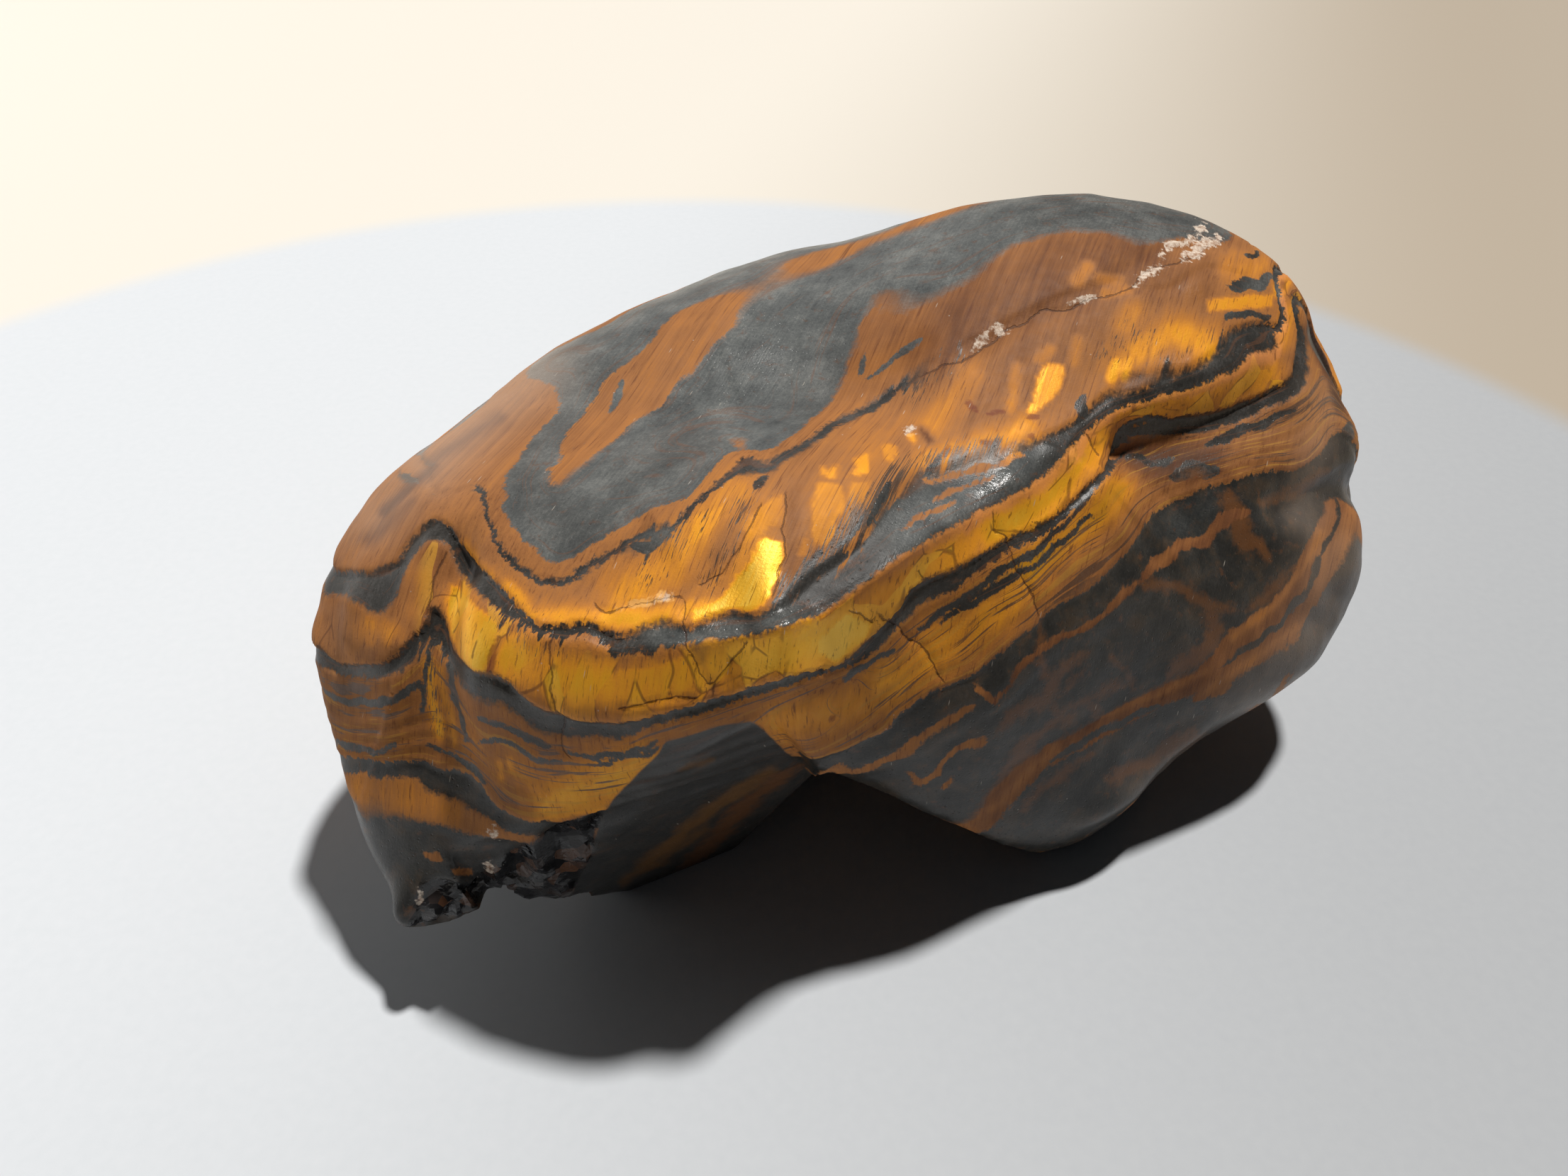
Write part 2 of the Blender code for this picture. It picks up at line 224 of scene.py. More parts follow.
# Places between those lines where the level is known: (level, pixel).
LAYER_PLACES = [
    (20.2, (880, 540)), (20.2, (960, 480)), (17.3, (740, 700)), (17.4, (830, 730)), (17.6, (930, 640)),
    (17.6, (1040, 560)), (17.6, (1130, 460)), (17.5, (1200, 400)), (17.4, (1300, 360)), (17.3, (1400, 320)),
    (17.3, (1500, 298)), (17.2, (1600, 305)), (17.0, (1700, 320)), (17.2, (820, 500)), (17.2, (780, 520)),
    (15.2, (700, 600)), (15.0, (640, 650)), (14.9, (620, 690)), (15.3, (1250, 500)), (15.2, (1320, 470)),
    (15.2, (1400, 430)), (15.2, (1480, 380)), (15.2, (1560, 370)), (15.1, (1640, 385)), (14.9, (1740, 370)),
    (14.0, (1400, 500)), (14.0, (1500, 450)), (14.0, (1600, 425)), (13.9, (1700, 400)), (13.8, (1780, 385)),
    (13.4, (520, 740)), (13.6, (560, 720)), (13.4, (600, 700)), (13.3, (650, 730)), (13.3, (700, 790)),
    (13.1, (800, 850)), (13.1, (900, 830)), (13.1, (1000, 780)), (13.1, (1100, 720)), (13.1, (1200, 650)),
    (13.0, (1300, 600)), (12.9, (1400, 570)), (12.9, (1500, 530)), (12.8, (1600, 490)), (12.9, (1700, 450)),
    (2.9, (520, 1200)), (2.8, (600, 1215)), (2.8, (560, 1240)), (2.9, (590, 1280)), (2.9, (575, 1300)),
    (6.6, (1150, 1010)), (6.8, (1100, 1000)), (6.3, (1200, 1000)), (6.0, (1250, 985)), (6.4, (1300, 930)),
    (6.6, (1350, 890)), (6.6, (1420, 840)), (6.6, (1500, 775)), (10.0, (1240, 855)), (9.9, (1350, 772)),
    (10.0, (1110, 930)), (10.0, (980, 965)), (10.0, (850, 975)), (10.0, (740, 935)),
]
LINE_SPACING = 13.0

# Where the photograph doesn't show the stone, its layers run on as gently folded sheets.
# Level 10 has this height (mm), changing by so much for each millimetre of x and y. The
# pitch is in levels for each millimetre, the fold in levels, its two lengths in mm. There
# the level is worked out at every so many vertices that are clear of the known places
# and of each other by these distances in mm.
SHEET_HEIGHT = 31.0
SHEET_RISE_X = 0.09
SHEET_RISE_Y = -0.12
SHEET_PITCH = 0.47
SHEET_FOLD = 0.9
SHEET_FOLD_LENGTH_X = 9.0
SHEET_FOLD_LENGTH_Y = 23.0
HIDDEN_SPACING = 7.5
HIDDEN_CLEARANCE = 7.0
HIDDEN_STRIDE = 37

# The layer field: how far it may miss a known place to stay smooth, how many vertices are
# worked out at once, and the least and most that it counts as its change for each mm.
FIELD_SLACK = 0.02
FIELD_BATCH = 4000
LEAST_SLOPE = 0.05
MOST_SLOPE = 2.5

# A vertex is seen when it faces the camera at least this much, and nothing is in the way
# of a ray that starts so many mm out from the skin and towards the camera.
LEAST_FACING = 0.03
CLEAR_OUTWARD = 0.25
CLEAR_AHEAD = 0.1


def camera_axes():
    """The camera's unit vectors to its right, upwards and forwards."""
    down = math.radians(LOOK_DOWN)
    right = np.array((1.0, 0.0, 0.0))
    up = np.array((0.0, math.sin(down), math.cos(down)))
    forward = np.array((0.0, math.cos(down), -math.sin(down)))
    return right, up, forward


def camera_ray(u, v):
    """Direction in space of a pixel of the photograph."""
    right, up, forward = camera_axes()
    ray = forward + right * (u - FRAME_WIDTH / 2) / FOCAL + up * (FRAME_HEIGHT / 2 - v) / FOCAL
    return ray / np.linalg.norm(ray)


def to_pixels(places):
    """Pixels of the photograph at which places on the stone are seen."""
    right, up, forward = camera_axes()
    arms = places - np.array(EYE)
    depth = arms @ forward
    u = FRAME_WIDTH / 2 + FOCAL * (arms @ right) / depth
    v = FRAME_HEIGHT / 2 - FOCAL * (arms @ up) / depth
    return np.stack([u, v], axis=1)


# ------------------------------------------------------------------ help with meshes
def vertex_vectors(mesh, name):
    """A vector property of every vertex, one row for each."""
    flat = np.empty(len(mesh.vertices) * 3)
    mesh.vertices.foreach_get(name, flat)
    return flat.reshape(-1, 3)


def vertex_places(mesh):
    return vertex_vectors(mesh, "co")


def vertex_normals(mesh):
    return vertex_vectors(mesh, "normal")


def set_places(mesh, places):
    mesh.vertices.foreach_set("co", places.ravel())
    mesh.update()


def edge_pairs(mesh):
    """The two vertices of every edge."""
    flat = np.empty(len(mesh.edges) * 2, dtype=np.int64)
    mesh.edges.foreach_get("vertices", flat)
    return flat.reshape(-1, 2)


def neighbour_mean(values, pairs):
    """Mean of the values at the vertices joined to each vertex."""
    count = len(values)
    total = np.bincount(pairs[:, 0], weights=values[pairs[:, 1]], minlength=count)
    total += np.bincount(pairs[:, 1], weights=values[pairs[:, 0]], minlength=count)
    return total / np.bincount(pairs.ravel(), minlength=count)


def blur(values, pairs, steps):
    """Spread values along the edges, so that a hard border becomes a soft one."""
    for _ in range(steps):
        values = 0.5 * values + 0.5 * neighbour_mean(values, pairs)
    return values


def even_out(places, pairs, weight, steps):
    """Smooth the skin without shrinking it, by pulling and pushing it in turn."""
    for step in range(2 * steps):
        amount = SMOOTHING_PULL if step % 2 == 0 else SMOOTHING_PUSH
        middle = np.stack([neighbour_mean(column, pairs) for column in places.T], axis=1)
        places = places + amount * weight[:, None] * (middle - places)
    return places


def settle(places, pairs, share, steps):
    """Pull each place towards the middle of its neighbours by its share."""
    for _ in range(steps):
        middle = np.stack([blur(column, pairs, 1) for column in places.T], axis=1)
        places = places + share[:, None] * (middle - places)
    return places


def smooth_step(values, low, high):
    """0 below low, 1 above high, smooth between."""
    share = np.clip((values - low) / (high - low), 0.0, 1.0)
    return share * share * (3.0 - 2.0 * share)


def wave(places, size, seed):
    """Smooth noise of height about 1, with lumps of this size in millimetres."""
    shift = Vector((seed * 17.3, seed * 5.1, seed * 9.7))
    return np.array([noise.noise(Vector(place) / size + shift) for place in places])


def facing_camera(places, normals):
    """Cosine between each normal and the way to the camera."""
    arms = np.array(EYE) - places
    return (normals * arms).sum(axis=1) / np.linalg.norm(arms, axis=1)


def soft_facing(mesh):
    """How squarely the skin faces the camera, evened out over a few millimetres."""
    facing = facing_camera(vertex_places(mesh), vertex_normals(mesh))
    return blur(facing, edge_pairs(mesh), FACING_BLUR)


def with_modifier_applied(thing):
    """The mesh that an object's modifiers make of it."""
    graph = bpy.context.evaluated_depsgraph_get()
    made = bpy.data.meshes.new_from_object(thing.evaluated_get(graph))
    thing.modifiers.clear()
    return made


# ------------------------------------------------------------------ distances in pixels
def gap_to_line(pixels, line):
    """Distance from each pixel to an open line, the side it is on, and how far along."""
    best = np.full(len(pixels), np.inf)
    side = np.ones(len(pixels))
    share = np.zeros(len(pixels))
    length = 0.0
    for start, end in zip(line[:-1], line[1:]):
        start = np.array(start, float)
        run = np.array(end, float) - start
        size = np.linalg.norm(run)
        along = np.clip((pixels - start) @ run / (size * size), 0.0, 1.0)
        gap = np.linalg.norm(pixels - start - along[:, None] * run, axis=1)
        closer = gap < best
        best[closer] = gap[closer]
        turn = run[0] * (pixels[:, 1] - start[1]) - run[1] * (pixels[:, 0] - start[0])
        side[closer] = np.where(turn[closer] < 0.0, -1.0, 1.0)
        share[closer] = length + along[closer] * size
        length += size
    return best, side, share / length


def inside_outline(pixels, outline):
    """Signed distance in pixels to a closed outline, positive inside it."""
    closed = list(outline) + [outline[0]]
    gap, _, _ = gap_to_line(pixels, closed)
    inside = np.zeros(len(pixels), dtype=bool)
    for (ua, va), (ub, vb) in zip(closed[:-1], closed[1:]):
        crosses = (va > pixels[:, 1]) != (vb > pixels[:, 1])
        if va != vb:
            reach = ua + (pixels[:, 1] - va) * (ub - ua) / (vb - va)
            inside ^= crosses & (pixels[:, 0] < reach)
    return np.where(inside, gap, -gap)


def soft_spots(pixels, spots):
    """The strongest of some soft-edged spots at each pixel."""
    total = np.zeros(len(pixels))
    for strength, radius, line in spots:
        gap, _, _ = gap_to_line(pixels, line)
        total = np.maximum(total, strength * np.exp(-(gap / radius) ** 2))
    return total


def strokes(pixels, marks):
    """Signed distance in pixels to the nearest of some tapered strokes, positive inside."""
    depth = np.full(len(pixels), UNSEEN)
    for half_width, line in marks:
        gap, _, share = gap_to_line(pixels, line)
        taper = 0.45 + 0.55 * np.sqrt(np.clip(4.0 * share * (1.0 - share), 0.0, 1.0))
        depth = np.maximum(depth, half_width * taper - gap)
    return depth


# ------------------------------------------------------------------ the skin
def crease_points(mesh):
    """Points close together along the CAD solid's sharp edges."""
    welded = bmesh.new()
    welded.from_mesh(mesh)
    bmesh.ops.remove_doubles(welded, verts=welded.verts, dist=MM)
    points = []
    for edge in welded.edges:
        if len(edge.link_faces) != 2 or edge.calc_face_angle() < math.radians(CREASE_ANGLE):
            continue
        start, end = (vertex.co for vertex in edge.verts)
        steps = max(1, int((end - start).length / CREASE_STEP))
        points += [start.lerp(end, step / steps) for step in range(steps + 1)]
    welded.free()
    return points


def nearness(places, points, reach):
    """1 on the points, falling smoothly to 0 at the reach."""
    tree = KDTree(len(points))
    for index, point in enumerate(points):
        tree.insert(point, index)
    tree.balance()
    gaps = np.array([tree.find(place)[2] for place in places])
    return 1.0 - smooth_step(gaps, 0.0, reach)


def make_skin():
    """The CAD solid rebuilt as even small faces, its facets smoothed and its breaks kept."""
    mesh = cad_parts["stone"].data.copy()
    mesh.transform(Matrix.Scale(1.0 / MM, 4))
    creases = crease_points(mesh)
    skin = bpy.data.objects.new("stone_skin", mesh)
    bpy.context.scene.collection.objects.link(skin)
    weld = skin.modifiers.new("weld", "WELD")
    weld.merge_threshold = MM
    remesh = skin.modifiers.new("fine faces", "REMESH")
    remesh.mode = "VOXEL"
    remesh.voxel_size = CELL
    fine = with_modifier_applied(skin)
    skin.data = fine
    pairs = edge_pairs(fine)
    places = vertex_places(fine)
    weight = 1.0 - CREASE_HOLD * nearness(places, creases, CREASE_REACH)
    places = even_out(places, pairs, weight, SMOOTHING_STEPS)
    worn = soft_spots(to_pixels(places), WORN) * (soft_facing(fine) > 0.0)
    set_places(fine, settle(places, pairs, worn, WORN_STEPS))
    thin_hidden(skin)
    raise_ridges(skin)
    return skin


def thin_hidden(skin):
    """Merge faces on the sides that the photograph doesn't show, down to the face count."""
    mesh = skin.data
    facing = facing_camera(vertex_places(mesh), vertex_normals(mesh))
    group = skin.vertex_groups.new(name="hidden")
    group.add(np.nonzero(facing < TURNED_AWAY)[0].tolist(), 1.0, "REPLACE")
    thin = skin.modifiers.new("fewer hidden faces", "DECIMATE")
    thin.ratio = MOST_TRIANGLES / (2.0 * len(mesh.polygons))
    thin.vertex_group = group.name
    thinned = with_modifier_applied(skin)
    skin.vertex_groups.clear()
    skin.data = thinned


def raise_ridges(skin):
    """Lift the seen side along its soft ridges."""
    mesh = skin.data
    places = vertex_places(mesh)
    shown = smooth_step(soft_facing(mesh), 0.0, 0.3)
    pixels = to_pixels(places)
    rise = np.zeros(len(places))
    for height, above, below, line in RIDGES:
        gap, side, share = gap_to_line(pixels, line)
        reach = np.where(side < 0.0, above, below)
        slope = np.where(side < 0.0, np.exp(-gap / reach), np.exp(-(gap / reach) ** 2))
        ends = smooth_step(np.minimum(share, 1.0 - share), -0.02, 0.14)
        rise += height * ends * slope
    way = np.array(RIDGE_WAY) / np.linalg.norm(RIDGE_WAY)
    set_places(mesh, places + (rise * shown)[:, None] * way)


# ------------------------------------------------------------------ levels of the layers
def spread_along(line, spacing):
    """Points at an even spacing along a line of points."""
    points = np.array(line, float)
    steps = np.linalg.norm(np.diff(points, axis=0), axis=1)
    travel = np.concatenate([[0.0], np.cumsum(steps)])
    count = max(2, int(travel[-1] / spacing) + 1)
    stops = np.linspace(0.0, travel[-1], count)
    return np.stack([np.interp(stops, travel, column) for column in points.T], axis=1)


def known_levels(tree):
    """The places on the skin at the pixels whose level is given, and those levels."""
    places = []
    levels = []
    pixels = [(level, pixel) for level, line in LAYER_LINES for pixel in spread_along(line, LINE_SPACING)]
    for level, pixel in pixels + LAYER_PLACES:
        hit = tree.ray_cast(Vector(EYE), Vector(camera_ray(*pixel)))
        if hit[0] is not None:
            places.append(tuple(hit[0]))
            levels.append(level)
    return np.array(places), np.array(levels)


def hidden_places(places, normals, known):
    """Places spread over the unseen sides, clear of every known one."""
    spare = places[::HIDDEN_STRIDE]
    spare = spare[facing_camera(spare, normals[::HIDDEN_STRIDE]) < 0.0]
    kept = []
    for place in spare:
        if np.min(np.linalg.norm(known - place, axis=1)) <= HIDDEN_CLEARANCE:
            continue
        if not kept or np.min(np.linalg.norm(np.array(kept) - place, axis=1)) > HIDDEN_SPACING:
            kept.append(place)
    return np.array(kept)


def sheet_level(places):
    """Level of the folded sheets."""
    x, y, z = places.T
    height = SHEET_HEIGHT + SHEET_RISE_X * x + SHEET_RISE_Y * y
    fold = SHEET_FOLD * np.sin(x / SHEET_FOLD_LENGTH_X + y / SHEET_FOLD_LENGTH_Y)
    return 10.0 + SHEET_PITCH * (z - height) + fold


def layer_field(places, known, levels):
    """Smooth level at any place, through every known one."""
    count = len(known)
    gaps = np.linalg.norm(known[:, None] - known[None], axis=2)
    plain = np.hstack([np.ones((count, 1)), known])
    system = np.zeros((count + 4, count + 4))
    system[:count, :count] = gaps ** 3 + FIELD_SLACK * np.eye(count)
    system[:count, count:] = plain
    system[count:, :count] = plain.T
    weights = np.linalg.solve(system, np.concatenate([levels, np.zeros(4)]))
    near, base, tilt = weights[:count], weights[count], weights[count + 1:]
    field = np.empty(len(places))
    for start in range(0, len(places), FIELD_BATCH):
        part = places[start:start + FIELD_BATCH]
        reach = np.sqrt(((part[:, None] - known[None]) ** 2).sum(axis=2))
        field[start:start + FIELD_BATCH] = reach ** 3 @ near + base + part @ tilt
    return field


def steepness(field, places, pairs):
    """Change of the field for each millimetre, along the steepest edge at each vertex."""
    run = np.linalg.norm(places[pairs[:, 0]] - places[pairs[:, 1]], axis=1)
    rate = np.abs(field[pairs[:, 0]] - field[pairs[:, 1]]) / np.maximum(run, 1e-6)
    steep = np.zeros(len(places))
    np.maximum.at(steep, pairs[:, 0], rate)
    np.maximum.at(steep, pairs[:, 1], rate)
    return np.clip(neighbour_mean(steep, pairs), LEAST_SLOPE, MOST_SLOPE)


def seen_mask(places, normals, tree):
    """1 for each vertex that the photograph shows."""
    eye = np.array(EYE)
    arms = eye - places
    far = np.linalg.norm(arms, axis=1)
    arms /= far[:, None]
    facing = (normals * arms).sum(axis=1)
    seen = np.zeros(len(places))
    for index in np.nonzero(facing > LEAST_FACING)[0]:
        start = Vector(places[index] + CLEAR_OUTWARD * normals[index] + CLEAR_AHEAD * arms[index])
        hit = tree.ray_cast(start, Vector(arms[index]), far[index])
        seen[index] = 1.0 if hit[0] is None else 0.0
    return seen


# ------------------------------------------------------------------ marks on the stone
# Soft glow of the silky gold fibres: (strength, soft radius in pixels, line of pixels).
GOLD_GLOWS = [
    (0.62, 24, [(648, 850), (658, 890), (668, 930)]),
    (0.72, 46, [(720, 930), (800, 960), (880, 975), (960, 960), (1060, 935), (1130, 915)]),
    (0.60, 34, [(1150, 905), (1200, 880), (1250, 840), (1320, 800), (1380, 766), (1440, 730)]),
    (0.70, 30, [(1400, 748), (1440, 728), (1490, 690), (1530, 650), (1555, 620)]),
    (0.50, 28, [(1590, 580), (1650, 570), (1720, 550), (1790, 525)]),
    (0.34, 30, [(1000, 845), (1045, 800), (1070, 750)]),
    (0.40, 40, [(880, 845), (940, 800), (1000, 740), (1040, 700)]),
    (0.52, 17, [(770, 868), (830, 870), (900, 874), (960, 864), (1010, 856)]),
    (0.40, 10, [(655, 772), (672, 795), (690, 815)]),
    (0.46, 12, [(718, 830), (735, 848), (752, 868)]),
    (0.12, 40, [(1170, 740), (1200, 700), (1225, 650)]),
    (0.42, 20, [(1310, 650), (1380, 626), (1450, 603)]),
    (0.28, 26, [(1310, 600), (1350, 560), (1370, 530)]),
    (0.34, 14, [(1430, 640), (1460, 620)]),
    (0.36, 20, [(1580, 520), (1590, 500)]),
    (0.48, 26, [(1610, 495), (1650, 470), (1690, 480), (1710, 500)]),
    (0.34, 20, [(1590, 460), (1600, 440)]),
    (0.45, 18, [(1812, 480), (1818, 460), (1820, 440)]),
    (0.32, 26, [(1740, 380), (1775, 375)]),
    (0.22, 30, [(1860, 590), (1885, 540)]),
    (0.50, 34, [(1100, 1020), (1170, 1005), (1240, 980)]),
    (0.52, 44, [(1250, 960), (1320, 920), (1400, 860), (1450, 820)]),
    (0.60, 26, [(1450, 800), (1500, 765), (1550, 725), (1578, 690)]),
    (0.52, 34, [(775, 1135), (810, 1110), (860, 1090), (900, 1075)]),
    (0.22, 26, [(740, 1100), (760, 1120)]),
    (0.35, 12, [(605, 945), (612, 990), (620, 1030)]),
    (0.30, 18, [(520, 885), (550, 890)]),
    (0.60, 9, [(605, 936), (611, 985), (622, 1036)]),
    (0.44, 8, [(616, 944), (634, 1000), (642, 1046)]),
    (0.18, 36, [(672, 1046), (720, 1084)]),
    (0.08, 6, [(1500, 893), (1566, 864), (1595, 822)]),
    (0.08, 6, [(1630, 798), (1665, 770), (1706, 748)]),
    (0.14, 6, [(1560, 1010), (1640, 976), (1700, 948)]),
    (0.18, 6, [(1740, 900), (1800, 852), (1840, 800), (1864, 752)]),
    (0.12, 7, [(1400, 1140), (1440, 1100), (1490, 1058)]),
    (0.14, 6, [(1700, 975), (1766, 932), (1830, 884)]),
    (0.20, 30, [(500, 1115), (560, 1125), (630, 1140)]),
    (0.24, 20, [(590, 820), (580, 860)]),
]

# Brighter blocks of gold with a plain edge: (strength, half width in pixels, line of pixels).
GOLD_BLOCKS = [
    (0.55, 8, [(1566, 535), (1575, 512)]),
    (0.55, 8, [(1588, 532), (1592, 508)]),
    (0.34, 9, [(1520, 396), (1532, 378)]),
    (0.30, 7, [(1552, 392), (1578, 396)]),
    (0.30, 7, [(1560, 412), (1588, 408)]),
    (0.52, 9, [(1806, 412), (1812, 396)]),
    (0.42, 16, [(1450, 745), (1480, 715), (1520, 672)]),
    (0.30, 7, [(520, 880), (523, 905)]),
    (0.28, 6, [(545, 880), (546, 905)]),
    (0.30, 7, [(1424, 578), (1430, 545), (1434, 520)]),
    (0.26, 7, [(1468, 506), (1480, 492)]),
    (0.24, 8, [(1514, 508), (1518, 480)]),
    (0.42, 5, [(706, 1078), (709, 1096)]),
    (0.42, 5, [(719, 1075), (722, 1090)]),
    (0.32, 5, [(735, 1082), (738, 1096)]),
]

# Gold with a crisp edge of its own shape: (strength, outline).
GOLD_PATCHES = [
    # the bright wedge over the crest, and the streaks beside it
    (0.92, [(1103, 762), (1104, 789), (1101, 813), (1091, 827), (1089, 840), (1076, 856), (1064, 862),
        (1036, 858), (1009, 864), (980, 876), (980, 862), (1002, 853), (1020, 840), (1042, 811),
        (1053, 800), (1064, 789), (1069, 769), (1078, 756), (1091, 764)]),
    (0.40, [(978, 728), (1012, 716), (1040, 704), (1022, 730), (1000, 752), (978, 768)]),
    (0.34, [(1044, 742), (1062, 722), (1082, 706), (1106, 694), (1104, 740), (1078, 752), (1058, 764)]),
    # the orange squares beside it
    (0.34, [(1156, 681), (1189, 680), (1191, 700), (1193, 720), (1178, 733), (1183, 756), (1169, 769),
        (1151, 773), (1143, 756), (1143, 733), (1149, 700)]),
    (0.30, [(1198, 680), (1227, 678), (1229, 707), (1216, 724), (1202, 742), (1190, 742), (1195, 720)]),
    (0.26, [(1136, 751), (1141, 769), (1140, 784), (1122, 782)]),
    (0.48, [(1202, 647), (1224, 640), (1226, 669), (1193, 671), (1204, 660)]),
    (0.40, [(1158, 658), (1171, 664), (1172, 656), (1182, 656), (1182, 673), (1168, 676), (1156, 668)]),
    (0.36, [(1242, 632), (1250, 626), (1264, 627), (1268, 640), (1258, 654), (1246, 650)]),
    (0.50, [(1278, 611), (1288, 609), (1291, 627), (1282, 622)]),
    # the pale lens
    (0.62, [(1480, 510), (1493, 512), (1501, 515), (1500, 528), (1497, 545), (1487, 558), (1473, 572),
        (1463, 583), (1453, 587), (1448, 580), (1457, 563), (1458, 548), (1462, 535), (1468, 522)]),
    # blocks of the gold band
    (0.66, [(637, 822), (650, 833), (670, 853), (698, 880), (702, 893), (693, 920), (680, 948),
        (660, 943), (642, 917), (634, 893), (634, 853)]),
    (0.78, [(1193, 865), (1233, 880), (1223, 900), (1180, 937), (1152, 920), (1152, 907)]),
    (0.56, [(870, 945), (930, 938), (975, 925), (978, 965), (960, 984), (900, 998), (874, 990)]),
    (0.50, [(1702, 440), (1702, 424), (1745, 417), (1796, 413), (1794, 432), (1750, 438)]),
    # the gold under the grey layer, above the notch
    (0.46, [(756, 1150), (764, 1128), (790, 1112), (830, 1100), (870, 1084), (905, 1068), (936, 1054),
        (928, 1068), (905, 1088), (870, 1122), (852, 1146), (820, 1152), (788, 1158)]),
]

# Duller, browner quartz, and the painted shade of a pit: (strength, soft radius in pixels, line of pixels).
DULLS_AND_SHADE = [
    (1.0, 75, [(1310, 480), (1400, 425), (1500, 385), (1600, 360)]),
    (0.7, 45, [(1600, 400), (1690, 380), (1740, 350)]),
    (0.6, 40, [(1380, 560), (1440, 500), (1500, 460)]),
    (0.5, 50, [(1700, 660), (1790, 640), (1860, 600)]),
    (0.6, 40, [(1590, 650), (1660, 640), (1700, 620)]),
    (1.3, 60, [(1440, 960), (1600, 850), (1700, 760), (1860, 690)]),
    (0.8, 60, [(1400, 1130), (1520, 1040), (1660, 970), (1760, 910), (1840, 820)]),
    (1.9, 9, [(984, 912), (994, 940), (1004, 976)]),
    (1.6, 8, [(700, 900), (696, 925), (690, 948)]),
    (0.5, 14, [(1120, 700), (1118, 750), (1112, 800)]),
    (2.4, 26, [(1584, 640), (1640, 652), (1700, 648)]),
    (0.8, 40, [(560, 820), (585, 850)]),
    (1.7, 9, [(542, 722), (575, 690), (612, 656)]),
    (1.3, 10, [(606, 652), (655, 620), (705, 588)]),
    (1.0, 12, [(520, 760), (545, 742), (580, 706)]),
    (0.8, 14, [(1010, 780), (1030, 745)]),
    (3.0, 16, [(1866, 460), (1888, 510), (1904, 566)]),
    # the pit on the top, painted dark brown as its shade
    (2.6, 7, [(1300, 606), (1306, 614), (1312, 622)]),
]

# Where the ore is painted paler as a painted sheen of the polish, where it is darker and rougher,
# and where a pale haze is painted on the polish as a painted reflection: (strength, soft radius
# in pixels, line of pixels).
PAINTED_SHEENS = [
    (0.95, 46, [(1262, 760), (1310, 715), (1370, 676), (1430, 645)]),
    (0.70, 26, [(930, 893), (985, 893), (1030, 888)]),
    (0.70, 22, [(1085, 878), (1128, 868), (1165, 852)]),
    (0.60, 22, [(980, 990), (1040, 972), (1110, 950)]),
    (0.50, 30, [(1665, 745), (1700, 725)]),
    (0.60, 24, [(895, 766), (935, 756)]),
    (0.50, 34, [(1750, 420), (1790, 395)]),
]
SHADES = [
    (0.45, 60, [(738, 640), (760, 710), (840, 760)]),
    (0.40, 50, [(1150, 585), (1200, 520)]),
    (0.35, 70, [(1500, 310), (1700, 320)]),
    (0.30, 60, [(880, 680), (960, 640)]),
    (0.80, 26, [(1210, 520), (1262, 506), (1300, 480)]),
    (1.00, 34, [(455, 828), (490, 832), (530, 850)]),
    (0.65, 28, [(1146, 834), (1200, 802), (1244, 768)]),
    (0.90, 50, [(470, 900), (480, 1000), (496, 1080)]),
    (0.80, 45, [(560, 940), (580, 1060)]),
]
# painted reflection: pale haze where the polish reflects the light around it
PAINTED_REFLECTIONS = [
    (0.60, 40, [(530, 730), (560, 700), (600, 650)]),
    (1.00, 50, [(600, 650), (690, 570), (760, 520)]),
    (0.15, 40, [(470, 1000), (480, 900)]),
    (0.45, 34, [(1870, 560), (1858, 640), (1850, 740)]),
    (0.40, 26, [(1610, 1120), (1650, 1080), (1710, 1058)]),
    (0.55, 50, [(1890, 790), (1850, 900), (1780, 985)]),
]

# Where dark strands cross the gold along its fibres: (strength, soft radius, line of pixels).
FRAYS = [
    (0.95, 30, [(1118, 830), (1156, 796), (1194, 750), (1234, 708), (1266, 672)]),
    (0.70, 22, [(1266, 672), (1300, 652), (1350, 640), (1400, 624)]),
    (0.62, 26, [(1000, 822), (1030, 770), (1054, 706)]),
    (0.50, 26, [(905, 820), (945, 780), (992, 728)]),
    (0.52, 26, [(1290, 560), (1330, 520), (1350, 500)]),
    (0.50, 24, [(1560, 500), (1590, 470), (1620, 470)]),
    (0.45, 22, [(1640, 510), (1690, 490), (1712, 470)]),
    (0.55, 22, [(700, 870), (740, 905), (780, 915)]),
    (0.60, 18, [(604, 905), (612, 960), (618, 1030)]),
    (0.25, 24, [(820, 900), (900, 930), (980, 930)]),
    (0.25, 24, [(1010, 930), (1090, 930), (1150, 905)]),
]
